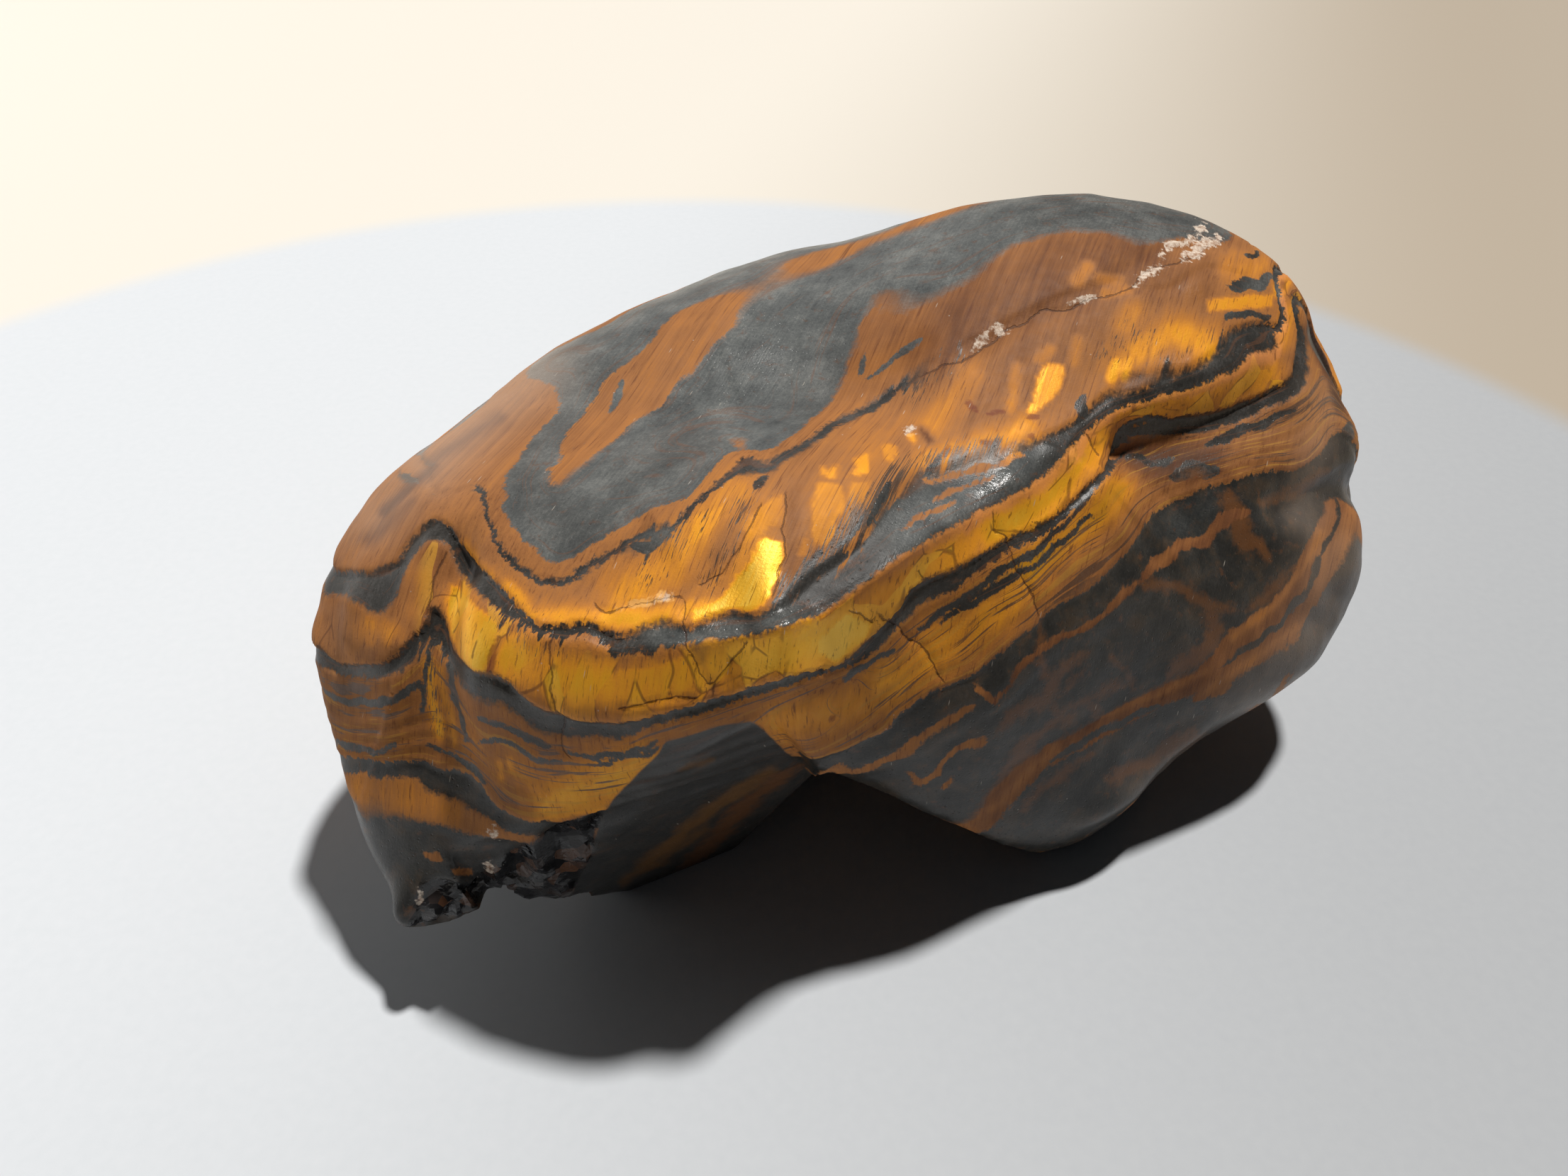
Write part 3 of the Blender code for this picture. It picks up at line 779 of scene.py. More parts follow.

# Grey iron-rich marks across the silky ground, and dark marks painted as shade in the recess under the gold
# band and under the right end: (half width in pixels, line of pixels).
GREY_MARKS_AND_SHADE = [
    (10, [(892, 768), (918, 768), (934, 757)]),
    (4.5, [(1302, 476), (1262, 506), (1226, 538)]),
    (4.5, [(1210, 482), (1214, 505), (1216, 526)]),
    (8, [(1531, 556), (1527, 594)]),
    (5, [(1757, 362), (1772, 356)]),
    (6, [(1724, 452), (1760, 445), (1792, 445)]),
    (9, [(1735, 402), (1770, 399), (1798, 392)]),
    (5, [(1060, 690), (1072, 682), (1085, 672)]),
    # dark lines side by side under the grey layer on the right
    (5.5, [(1296, 888), (1322, 870), (1352, 852), (1385, 832)]),
    (5, [(1330, 880), (1370, 852), (1410, 826), (1450, 800), (1500, 762), (1540, 728)]),
    (5, [(1350, 848), (1400, 818), (1437, 791), (1500, 740), (1540, 706)]),
    (4.5, [(1190, 962), (1215, 945), (1260, 915)]),
    (8, [(612, 860), (616, 885), (612, 905)]),
    # feathery streaks of the grey layer beside the gold squares
    (6, [(1260, 676), (1246, 706), (1230, 742)]),
    (8, [(1272, 700), (1250, 742), (1222, 772)]),
    (10, [(1302, 682), (1278, 720), (1248, 768), (1216, 802)]),
    (7, [(1196, 780), (1160, 804), (1130, 826)]),
    (4.5, [(1226, 722), (1208, 750), (1180, 772)]),
    (5, [(1180, 806), (1150, 830), (1126, 846)]),
    (5, [(1330, 640), (1312, 662), (1290, 690)]),
    (5, [(1160, 780), (1138, 800)]),
    (5, [(880, 540), (868, 560), (858, 575)]),
    # thin lines under the gold band, left
    (5, [(675, 1012), (700, 1018), (725, 1026), (752, 1044), (780, 1054)]),
    (4.5, [(672, 1047), (697, 1045), (722, 1050), (740, 1060), (757, 1070), (790, 1072)]),
    (5, [(797, 1060), (830, 1068), (852, 1060), (880, 1066), (905, 1058), (920, 1045)]),
    (4.5, [(825, 1082), (850, 1078), (865, 1072), (887, 1071), (910, 1066), (925, 1052)]),
    (4.5, [(467, 1048), (500, 1056), (530, 1058), (560, 1052)]),
    (4.5, [(604, 912), (600, 958), (596, 1010)]),
    (4.5, [(626, 934), (648, 990), (658, 1044)]),
    (6, [(458, 972), (477, 984), (502, 992), (530, 993), (558, 989), (578, 975), (594, 958)]),
    (4.5, [(604, 1052), (640, 1066), (668, 1084), (690, 1106)]),
    # the recess under the gold band at the right end, painted dark as its shade, and that end's edge
    (10, [(1590, 612), (1640, 604), (1700, 600), (1740, 590)]),
    (8, [(1650, 668), (1690, 662), (1724, 668)]),
    (5, [(1590, 646), (1624, 652), (1650, 650)]),
    (7, [(1701, 628), (1766, 604), (1825, 578)]),
    (11, [(1912, 596), (1900, 616), (1884, 640)]),
    # dark streaks inside the wide stripe on the right end
    (5, [(1700, 956), (1735, 930), (1770, 903), (1805, 877), (1832, 850), (1850, 818), (1864, 780),
        (1884, 742), (1900, 706)]),
    (5, [(1480, 1075), (1530, 1044), (1580, 1020), (1640, 998)]),
    # at the tip of the tooth, and along the foot of the right end, where the dark is painted shade of the
    # underside
    (9, [(566, 1306), (600, 1312), (646, 1298)]),
    (9, [(1456, 1204), (1500, 1198), (1545, 1180), (1600, 1146)]),
]

# Rusty marks across the grey ground: (half width in pixels, line of pixels).
RUST_MARKS = [
    (6, [(1201, 545), (1206, 500), (1221, 462), (1240, 425)]),
    (7, [(1374, 970), (1392, 978), (1404, 992)]),
    (5, [(1569, 641), (1601, 630), (1648, 618)]),
    (10, [(1770, 640), (1820, 615), (1870, 600)]),
    # thin lines through the sheen on the crest
    (4.5, [(1306, 672), (1352, 664), (1398, 652), (1444, 638)]),
    (4.5, [(1318, 696), (1362, 682), (1404, 668)]),
    (4.5, [(1274, 738), (1318, 716), (1350, 702)]),
    # small marks on the tooth, and beside the wedge on the top
    (5, [(600, 1205), (622, 1208)]),
    (5, [(640, 1228), (672, 1233)]),
    (8, [(650, 1150), (680, 1165), (700, 1170)]),
    (5, [(775, 662), (800, 655), (812, 640)]),
    # where the thin grey line ends at the far left
    (15, [(548, 640), (585, 656), (603, 672), (618, 690), (640, 698), (662, 690)]),
    # orange stripes on the dark right flank
    (6.5, [(1155, 1090), (1197, 1087), (1230, 1080), (1256, 1068), (1280, 1059), (1297, 1048),
        (1324, 1029), (1352, 1007), (1374, 996)]),
    (5.5, [(1404, 984), (1422, 970), (1444, 943), (1469, 918), (1494, 896), (1541, 879), (1569, 862),
        (1586, 840), (1597, 823), (1624, 807), (1652, 782)]),
    (9.5, [(1613, 812), (1642, 788), (1663, 771), (1695, 763), (1713, 745), (1736, 727), (1760, 725)]),
    (5.5, [(1283, 1090), (1302, 1104), (1319, 1096), (1336, 1073), (1358, 1059), (1386, 1046)]),
    (5, [(1332, 1116), (1349, 1102)]),
    # the two strands of the wide stripe
    (10, [(1391, 1151), (1424, 1123), (1447, 1096), (1472, 1071), (1499, 1050)]),
    (6, [(1480, 1062), (1541, 1027), (1583, 1005), (1624, 988)]),
    (11, [(1610, 994), (1648, 978), (1683, 963), (1707, 945), (1725, 922), (1748, 898), (1778, 876),
        (1807, 850), (1831, 826), (1842, 800), (1854, 772), (1869, 742), (1889, 712)]),
    (9, [(1683, 985), (1725, 966), (1766, 930), (1801, 910), (1831, 881), (1854, 848), (1878, 804),
        (1898, 766), (1910, 736)]),
    (6, [(1737, 1044), (1766, 1016), (1794, 987), (1826, 953)]),
]

# Faint brown veins in the dark flank: (half width in pixels, line of pixels).
VEINS = [
    (6, [(1466, 872), (1470, 900), (1469, 934), (1480, 962), (1484, 987), (1494, 1009), (1499, 1029)]),
    (9, [(1411, 1029), (1430, 1009), (1447, 1001), (1474, 984), (1488, 959), (1510, 936), (1530, 926)]),
    (5, [(1497, 979), (1513, 962), (1532, 944)]),
    (5, [(1569, 923), (1580, 937), (1597, 954), (1602, 971)]),
    (7, [(1502, 1006), (1524, 993), (1541, 984), (1569, 972), (1590, 966)]),
    (6, [(1533, 982), (1547, 1001), (1552, 1020)]),
    (9, [(1408, 1096), (1430, 1073), (1458, 1043), (1486, 1023), (1520, 1010)]),
    (7, [(1440, 1142), (1469, 1112), (1500, 1090), (1540, 1066)]),
    (10, [(1600, 820), (1660, 830), (1700, 850), (1740, 860)]),
    (13, [(1700, 850), (1720, 890), (1690, 930), (1650, 950)]),
    (8, [(1760, 862), (1800, 830), (1830, 800)]),
    (9, [(1784, 709), (1819, 697), (1850, 684), (1880, 664)]),
    (14, [(1730, 700), (1760, 760), (1790, 790)]),
    (12, [(1540, 560), (1560, 520)]),
    (14, [(1590, 655), (1640, 690), (1700, 668)]),
    (12, [(960, 1236), (1010, 1180), (1080, 1110), (1130, 1078)]),
    (12, [(1560, 1100), (1620, 1075), (1690, 1035)]),
]

# Cracks, each an open line of pixels.
CRACKS = [
    [(780, 880), (778, 917), (780, 955), (780, 993), (787, 1010), (793, 1040), (800, 1067), (807, 1077)],
    [(1240, 866), (1263, 884), (1292, 908), (1317, 938), (1333, 967)],
    [(1408, 718), (1402, 751), (1422, 759), (1433, 790), (1447, 818), (1461, 851), (1466, 878)],
    [(1280, 540), (1310, 526), (1350, 511), (1385, 490), (1440, 456), (1480, 436), (1545, 424),
        (1600, 404), (1643, 374), (1700, 352), (1727, 340)],
    [(836, 845), (850, 858), (865, 865), (884, 858), (900, 852), (930, 848), (968, 847)],
    [(968, 848), (966, 870), (972, 920), (985, 950), (1003, 965)],
    [(1060, 908), (1035, 930), (1015, 955), (1003, 985)],
    [(1197, 863), (1215, 870), (1238, 880)],
    [(1293, 803), (1300, 820)],
    [(632, 775), (620, 800), (605, 835), (600, 872)],
    [(1112, 690), (1106, 740), (1104, 790), (1092, 850)],
    [(1545, 640), (1530, 612)],
    [(868, 1000), (900, 992), (950, 984), (985, 984)],
    [(984, 826), (1013, 809), (1046, 765), (1068, 724), (1074, 706)],
]

# Pale crumbly crust, most of it in the crack on the top: (half width in pixels, line of pixels).
CRUSTS = [
    (7, [(1376, 486), (1396, 474)]),
    (4, [(1400, 468), (1425, 466)]),
    (4, [(1508, 423), (1545, 421)]),
    (6, [(1603, 402), (1622, 391), (1640, 378)]),
    (6, [(1632, 358), (1642, 352)]),
    (4.5, [(1640, 352), (1672, 340), (1700, 330)]),
    (8, [(1668, 360), (1690, 350), (1722, 338)]),
    (5, [(1684, 320), (1695, 316)]),
    (5, [(868, 862), (900, 850), (925, 846), (950, 846)]),
    (5, [(1278, 607), (1290, 603)]),
    (5, [(588, 1262), (592, 1282)]),
    (5, [(690, 1170), (700, 1180)]),
    (5, [(686, 1222), (700, 1220)]),
]

# Small dark red stains: (half width in pixels, line of pixels).
RED_STAINS = [
    (4, [(1360, 570), (1378, 578)]),
    (4, [(1392, 584), (1414, 583)]),
    (4, [(1450, 592), (1468, 588)]),
    (4, [(1332, 640), (1345, 632)]),
    (4, [(1383, 626), (1400, 624), (1416, 620)]),
    (4, [(1452, 614), (1460, 616)]),
    (5, [(688, 950), (694, 925), (702, 900)]),
    (5, [(1170, 1015), (1180, 1010)]),
]

# Where the polish is brightest, on the crest: (half width in pixels, line of pixels).
GLINTS = [
    (15, [(915, 902), (960, 892), (990, 886)]),
    (10, [(990, 905), (1012, 897), (1036, 892)]),
    (18, [(1075, 890), (1128, 876), (1168, 862)]),
    (8, [(1252, 798), (1276, 786), (1300, 772)]),
    (17, [(1392, 690), (1418, 668), (1434, 636)]),
    (10, [(820, 905), (850, 905), (885, 914)]),
    (7, [(975, 990), (1010, 982)]),
    (8, [(1040, 970), (1075, 960), (1112, 950)]),
    (7, [(1672, 412), (1688, 406)]),
    (9, [(1650, 512), (1680, 508)]),
    (10, [(1663, 745), (1698, 724)]),
]

# The break at the lower left: black and jagged inside this outline.
FRACTURE = [
    (586, 1262), (592, 1246), (615, 1240), (640, 1246), (668, 1246), (686, 1226), (705, 1215),
    (716, 1205), (765, 1178), (815, 1154), (852, 1148), (840, 1176), (836, 1204), (815, 1240),
    (806, 1262), (780, 1262), (750, 1262), (715, 1262), (690, 1270), (660, 1288), (612, 1312),
    (592, 1322), (572, 1318),
]

# The flat wall of the notch, seen inside this outline, and the brown stripes on it.
NOTCH_WALL = [
    (852, 1148), (868, 1124), (907, 1084), (930, 1062), (938, 1046), (962, 1040), (1013, 1024),
    (1060, 1016), (1078, 1030), (1110, 1062), (1160, 1102), (1130, 1200), (900, 1290), (800, 1290),
]
WALL_STRIPES = [
    (9, [(880, 1243), (963, 1178), (1013, 1132), (1093, 1085)]),
    (4, [(930, 1215), (1000, 1165)]),
    (2.5, [(960, 1085), (1000, 1068)]),
]


# The edges, in pixels, that gold blocks and patches fade over, how much of the gold already
# there shows through a new mark, and the most gold that a place can have.
BLOCK_FADE = (-7.0, 5.0)
PATCH_FADE = (-3.0, 3.0)
GLOW_CARRY = 0.35
BLOCK_CARRY = 0.3
MOST_GOLD = 1.1

# How marks waver: (reach in pixels, size of the lumps in mm, seed).
SHAKES = [(9.0, 2.8, 20), (3.5, 1.1, 30)]
GOLD_SHAKE = 0.4

# A crack is whole near its line, and fades over so many pixels and towards its ends.
CRACK_CORE = 1.6
CRACK_REACH = 9.0
CRACK_ENDS = 9.0


def gold_strength(pixels):
    """Strength of the gold, from 0 up to a little over 1."""
    total = np.zeros(len(pixels))
    for strength, radius, line in GOLD_GLOWS:
        gap, _, _ = gap_to_line(pixels, line)
        total = np.maximum(total, strength * np.exp(-(gap / radius) ** 2) + GLOW_CARRY * total)
    for strength, half_width, line in GOLD_BLOCKS:
        gap, _, _ = gap_to_line(pixels, line)
        inside = smooth_step(half_width - gap, *BLOCK_FADE)
        total = np.maximum(total, strength * inside + BLOCK_CARRY * total)
    for strength, outline in GOLD_PATCHES:
        inside = smooth_step(inside_outline(pixels, outline), *PATCH_FADE)
        total = np.maximum(total, strength * inside + BLOCK_CARRY * total)
    return np.minimum(total, MOST_GOLD)


def shake(pixels, places):
    """The pixels shifted a little, so that marks given as plain lines waver."""
    shifted = pixels.copy()
    for axis in range(2):
        shifted[:, axis] += sum(reach * wave(places, size, seed + axis) for reach, size, seed in SHAKES)
    return shifted


def crack_fields(pixels):
    """Signed distance in pixels to the nearest crack, and how near it is, from 0 to 1."""
    signed = np.full(len(pixels), FAR_OFF)
    near = np.zeros(len(pixels))
    for line in CRACKS:
        gap, side, share = gap_to_line(pixels, line)
        closer = gap < np.abs(signed)
        signed[closer] = (gap * side)[closer]
        ends = np.clip(np.minimum(share, 1.0 - share) * CRACK_ENDS, 0.0, 1.0)
        near = np.maximum(near, ends * np.clip(CRACK_CORE - gap / CRACK_REACH, 0.0, 1.0))
    return signed, near


# The marks by the name that the carving and the material read them by.
SPOTS = {"fray": FRAYS, "dull": DULLS_AND_SHADE, "haze": PAINTED_REFLECTIONS, "sheen": PAINTED_SHEENS, "shade": SHADES}
STROKES = {
    "grey_mark": GREY_MARKS_AND_SHADE, "rust_mark": RUST_MARKS, "red": RED_STAINS, "crust": CRUSTS,
    "wall_stripe": WALL_STRIPES, "glint": GLINTS, "vein": VEINS,
}
OUTLINES = {"fracture": FRACTURE, "wall": NOTCH_WALL}


def measure_fields(skin):
    """Every number that the carving and the material read at a vertex."""
    mesh = skin.data
    places = vertex_places(mesh)
    normals = vertex_normals(mesh)
    pairs = edge_pairs(mesh)
    tree = BVHTree.FromPolygons(
        [Vector(place) for place in places], [tuple(face.vertices) for face in mesh.polygons]
    )
    known, levels = known_levels(tree)
    hidden = hidden_places(places, normals, known)
    known = np.vstack([known, hidden])
    levels = np.concatenate([levels, sheet_level(hidden)])
    seen = seen_mask(places, normals, tree)
    soft_seen = blur(seen, pairs, SEEN_BLUR)
    pixels = to_pixels(places)
    shaken = shake(pixels, places)
    level = layer_field(places, known, levels)
    slope = steepness(level, places, pairs)
    fields = {"level": level, "slope": slope, "seen": seen, "soft_seen": soft_seen}
    fields["gold"] = gold_strength(GOLD_SHAKE * shaken + (1.0 - GOLD_SHAKE) * pixels) * soft_seen
    for name, spots in SPOTS.items():
        fields[name] = soft_spots(pixels, spots) * soft_seen
    for name, marks in STROKES.items():
        fields[name] = np.where(seen > 0.5, strokes(shaken, marks), UNSEEN)
    for name, outline in OUTLINES.items():
        fields[name] = np.where(seen > 0.5, inside_outline(pixels, outline), UNSEEN)
    signed, near = crack_fields(shaken)
    fields["crack"] = signed
    fields["crack_near"] = near * seen
    return fields


# ------------------------------------------------------------------ carving
# Layers that stand lower than their neighbours: (lower level, upper level, depth in mm).
SUNK_LAYERS = [
    (11.0, 12.0, 0.42), (8.4, 9.0, 0.38), (14.2, 14.6, 0.12), (16.0, 19.0, 0.08), (4.3, 5.0, 0.18),
    (2.1, 3.6, 0.12),
]
# Soft waves of the polish: (height in mm, size of the lumps in mm, seed).
POLISH_WAVES = [(0.10, 5.0, 1), (0.045, 1.9, 2)]
# The fine relief of the layers and marks, in mm, and the size and seed of its lumps.
LAMINA_RELIEF = 0.035
LAMINA_PITCH = 9.0
CRACK_DEPTH = 0.15
CRACK_HALF_WIDTH = 3.5
CRUST_RISE = 0.10
CRUST_LUMPS = 0.26
GLINT_RELIEF = 0.06
CRUST_WAVE = (0.8, 3)
GLINT_WAVE = (1.2, 4)
FIBROUS_LEVELS = ((4.8, 5.4), (7.6, 8.4))
# Where the marks fade out, in pixels, and where hollows do, by how the skin faces the camera.
CRUST_FADE = (-3.0, 3.0)
GLINT_FADE = (-14.0, 8.0)
BREAK_FADE = (-4.0, 5.0)
HOLLOW_FADE = (-0.6, 0.0)
# The black break's facets: (spacing in pixels, height in mm, seed), and how deep they may go.
BREAK_FACETS = [(30.0, 0.85, 11), (17.0, 0.30, 12)]
BREAK_DEEPEST = -0.65


def between(levels, low, high, edge):
    """1 between two levels, 0 outside them."""
    above = smooth_step(levels, low - edge, low + edge)
    return above * (1.0 - smooth_step(levels, high - edge, high + edge))


def layer_relief(levels):
    """Each iron layer is sunk at its lower edge and rises to its upper one, like a shelf."""
    relief = np.zeros(len(levels))
    for low, high, depth in SUNK_LAYERS:
        shelf = np.clip((levels - low) / (high - low), 0.0, 1.0)
        relief -= depth * between(levels, low, high, 0.10 * (high - low)) * (0.35 + 0.65 * shelf)
    rise, fall = FIBROUS_LEVELS
    fibrous = smooth_step(levels, *rise) * (1.0 - smooth_step(levels, *fall))
    return relief + LAMINA_RELIEF * np.sin(levels * LAMINA_PITCH) * fibrous


def hackle(pixels, spacing, height, seed):
    """A hackly break: flat facets between points scattered at random heights."""
    outline = np.array(FRACTURE, float)
    low = outline.min(axis=0) - 3.0 * spacing
    high = outline.max(axis=0) + 3.0 * spacing
    maker = np.random.default_rng(seed)
    count = int(np.prod((high - low) / spacing))
    spots = low + maker.random((count, 2)) * (high - low)
    heights = maker.uniform(-height, height, count)
    corners, _, faces, _, _, _ = delaunay_2d_cdt([Vector(spot) for spot in spots], [], [], 0, 1e-6)
    raised = [Vector((spot[0], spot[1], rise)) for spot, rise in zip(corners, heights)]
    facets = BVHTree.FromPolygons(raised, faces)
    rise = np.zeros(len(pixels))
    for index, pixel in enumerate(pixels):
        hit = facets.ray_cast(Vector((pixel[0], pixel[1], FAR_OFF)), Vector((0.0, 0.0, -1.0)))[0]
        if hit is not None:
            rise[index] = hit.z
    return rise


def carve(skin, fields):
    """Move the skin along its normals: polish waves, layers, hollows, cracks and the break."""
    mesh = skin.data
    places = vertex_places(mesh)
    normals = vertex_normals(mesh)
    lift = sum(height * wave(places, size, seed) for height, size, seed in POLISH_WAVES)
    lift += layer_relief(fields["level"])
    towards_camera = smooth_step(facing_camera(places, normals), *HOLLOW_FADE)
    lift -= soft_spots(to_pixels(places), HOLLOWS) * towards_camera
    groove = np.exp(-(fields["crack"] / CRACK_HALF_WIDTH) ** 2) * fields["crack_near"]
    lift -= CRACK_DEPTH * groove * (fields["seen"] > 0.5)
    crust = smooth_step(fields["crust"], *CRUST_FADE)
    lift += crust * (CRUST_RISE + CRUST_LUMPS * wave(places, *CRUST_WAVE))
    glint = smooth_step(fields["glint"], *GLINT_FADE)
    lift += glint * GLINT_RELIEF * wave(places, *GLINT_WAVE)
    broken = smooth_step(fields["fracture"], *BREAK_FADE)
    inside = np.nonzero(broken > 0.0)[0]
    pixels = to_pixels(places[inside])
    jag = sum(hackle(pixels, spacing, height, seed) for spacing, height, seed in BREAK_FACETS)
    jag = np.maximum(jag, BREAK_DEEPEST)
    lift[inside] = lift[inside] * (1.0 - broken[inside]) + broken[inside] * jag
    places = places + normals * lift[:, None]
    places[:, 2] = np.maximum(places[:, 2], 0.0)
    set_places(mesh, places)


def finish_mesh(skin, fields):
    """Store the fields for the material, go over to metres, and set the shading."""
    mesh = skin.data
    for name, values in fields.items():
        attribute = mesh.attributes.new(name, "FLOAT", "POINT")
        attribute.data.foreach_set("value", values.astype(np.float32))
    mesh.transform(Matrix.Scale(MM, 4))
    mesh.shade_smooth()
    unbroken = fields["fracture"] < 1.0
    for face in mesh.polygons:
        face.use_smooth = bool(unbroken[list(face.vertices)].any())


# ------------------------------------------------------------------ shader nodes
def srgb(red, green, blue):
    """A display colour, 0 to 255, as the linear colour that a shader takes."""
    linear = []
    for share in (red / 255.0, green / 255.0, blue / 255.0):
        linear.append(share / 12.92 if share <= 0.04045 else ((share + 0.055) / 1.055) ** 2.4)
    return (*linear, 1.0)


class Value:
    """A number or colour that shader nodes work out. Arithmetic on it adds math nodes."""

    def __init__(self, wiring, socket):
        self.wiring = wiring
        self.socket = socket

    def __add__(self, other):
        return self.wiring.math("ADD", self, other)

    def __radd__(self, other):
        return self.wiring.math("ADD", other, self)

    def __sub__(self, other):
        return self.wiring.math("SUBTRACT", self, other)

    def __rsub__(self, other):
        return self.wiring.math("SUBTRACT", other, self)

    def __mul__(self, other):
        return self.wiring.math("MULTIPLY", self, other)

    def __truediv__(self, other):
        return self.wiring.math("DIVIDE", self, other)

    def __abs__(self):
        return self.wiring.math("ABSOLUTE", self)

    def swing(self, size):
        """A noise moved to swing about zero by half the size each way."""
        return (self - 0.5) * size

    def clamped(self):
        """The same number, held between 0 and 1."""
        self.socket.node.use_clamp = True
        return self


class Wiring:
    """One material, with short names for making and joining its shader nodes."""

    def __init__(self, name):
        self.material = bpy.data.materials.new(name)
        self.material.use_nodes = True
        self.tree = self.material.node_tree
        self.shader = self.tree.nodes["Principled BSDF"]

    def node(self, kind, **settings):
        made = self.tree.nodes.new(kind)
        for name, value in settings.items():
            setattr(made, name, value)
        return made

    def join(self, source, target):
        """Feed a socket with a worked-out value, a plain number or a display colour."""
        if isinstance(source, Value):
            self.tree.links.new(source.socket, target)
        elif isinstance(source, tuple):
            target.default_value = srgb(*source)
        else:
            target.default_value = source

    def made(self, node, output, *inputs):
        """The output of a new node whose first inputs are fed in order."""
        for value, socket in zip(inputs, node.inputs):
            self.join(value, socket)
        return Value(self, node.outputs[output])

    def coordinates(self):
        return self.made(self.node("ShaderNodeTexCoord"), "Object")

    def attribute(self, name):
        return self.made(self.node("ShaderNodeAttribute", attribute_name=name), "Fac")

    def math(self, operation, *values):
        return self.made(self.node("ShaderNodeMath", operation=operation), 0, *values)

    def most(self, first, second):
        return self.math("MAXIMUM", first, second)

    def vector(self, x, y, z):
        return self.made(self.node("ShaderNodeCombineXYZ"), 0, x, y, z)

    def split(self, vector):
        node = self.node("ShaderNodeSeparateXYZ")
        self.join(vector, node.inputs[0])
        return [Value(self, socket) for socket in node.outputs]

    def noise(self, vector, name):
        node = self.node("ShaderNodeTexNoise")
        for setting, value in zip(("Scale", "Detail", "Roughness", "Distortion"), NOISES[name]):
            node.inputs[setting].default_value = value
        return self.made(node, "Fac", vector)

    def cells(self, vector, scale, feature="F1", output="Distance"):
        node = self.node("ShaderNodeTexVoronoi", feature=feature)
        node.inputs["Scale"].default_value = scale
        return self.made(node, output, vector)

    def step(self, value, low, high):
        """0 below low, 1 above high, smooth between."""
        node = self.node("ShaderNodeMapRange", interpolation_type="SMOOTHSTEP")
        return self.made(node, "Result", value, low, high)

    def between(self, value, rise, fall):
        """1 between two edges, each a pair of values that it changes over."""
        return self.step(value, *rise) * (1.0 - self.step(value, *fall))

    def stops(self, value, colours):
        """A colour ramp through stops, each a position and a display colour."""
        node = self.node("ShaderNodeValToRGB")
        elements = node.color_ramp.elements
        while len(elements) < len(colours):
            elements.new(0.5)
        for element, (position, colour) in zip(elements, colours):
            element.position = position
            element.color = srgb(*colour)
        return self.made(node, "Color", value)

    def mix(self, share, first, second):
        node = self.node("ShaderNodeMix", data_type="RGBA")
        self.join(share, node.inputs["Factor"])
        colours = [socket for socket in node.inputs if socket.type == "RGBA"]
        self.join(first, colours[0])
        self.join(second, colours[1])
        return Value(self, [socket for socket in node.outputs if socket.type == "RGBA"][0])

    def tint(self, colour, mask, tint):
        """The colour, moved towards a tint by its strength where the mask is 1."""
        strength, towards = tint
        return self.mix(mask * strength, colour, towards)


# ------------------------------------------------------------------ the stone's material
# Levels between which a layer is grey iron ore rather than silky quartz.
GREY_LAYERS = [(8.4, 9.0), (11.0, 12.0), (14.2, 14.6), (16.0, 19.0)]
# Silky layers in the grey lower part of the pile: at the left, and everywhere else.
LEFT_SILKY_LAYERS = [(-2.9, -2.4), (3.72, 4.25)]
SILKY_LAYERS = [(-3.2, -2.6), (1.2, 2.0)]
# The lowest level, the span of levels, and half the width of a layer's soft edge.
LEVEL_LOW = -4.0
LEVEL_SPAN = 28.0
EDGE = 0.05

# Spans of levels: a rising edge and a falling one.
FIBROUS_SPAN = ((4.9, 5.3), (8.1, 8.5))
BAND_SPAN = ((8.9, 9.2), (10.8, 11.1))
RIM_SPAN = ((10.20, 10.70), (10.96, 11.04))
LOW_PILE_TOP = (4.95, 5.05)
PALE_ORE_START = (14.7, 15.2)
THIN_LINE_FOOT = (13.4, 13.8)
THIN_LINE_TOP = (15.0, 15.4)
BAND_FOOT = 8.98
# Edges along the stone, each a span of x in mm.
LEFT_SIDE_END = (-20.0, -14.0)
FOLD_END = (-37.5, -36.0)
THIN_LINE_END = (2.0, 5.0)
RIM_START = (-4.0, 6.0)
RIGHT_END = (43.5, 46.0)

BLACK = (0, 0, 0)
WHITE = (255, 255, 255)

# Noises: scale (for each mm, and for each metre on the floor), detail, roughness, distortion.
NOISES = {
    "fibre": (1.5, 3.0, 0.6, 0.3),
    "strand": (5.5, 3.0, 0.65, 0.2),
    "fine strand": (9.0, 2.0, 0.6, 0.3),
    "mottle": (0.28, 3.0, 0.55, 0.0),
    "grain": (3.0, 3.0, 0.6, 0.0),
    "slow waver": (0.5, 2.0, 0.5, 0.0),
    "quick waver": (1.5, 3.0, 0.6, 0.0),
    "lamina": (1.0, 3.0, 0.65, 0.25),
    "bundle": (0.8, 2.0, 0.5, 0.0),
    "rust edge": (0.9, 3.0, 0.6, 0.0),
    "patch": (0.07, 2.0, 0.5, 0.0),
    "patchwork": (1.0, 2.0, 0.5, 0.0),
    "block waver": (0.22, 1.0, 0.4, 0.0),
    "seam": (0.4, 1.0, 0.5, 0.0),
    "fine ore": (7.0, 2.0, 0.7, 0.0),
    "low ore": (0.45, 4.0, 0.6, 0.4),
    "rusting": (0.9, 4.0, 0.65, 0.0),
    "vein edge": (1.4, 3.0, 0.6, 0.0),
    "crust edge": (1.3, 3.0, 0.6, 0.0),
    "crust": (2.6, 3.0, 0.7, 0.0),
    "polish": (1.1, 4.0, 0.6, 0.0),
    "relief": (5.0, 4.0, 0.6, 0.0),
    "hammered": (1.5, 2.0, 0.5, 0.0),
    "floor": (900.0, 2.0, 0.5, 0.0),
}

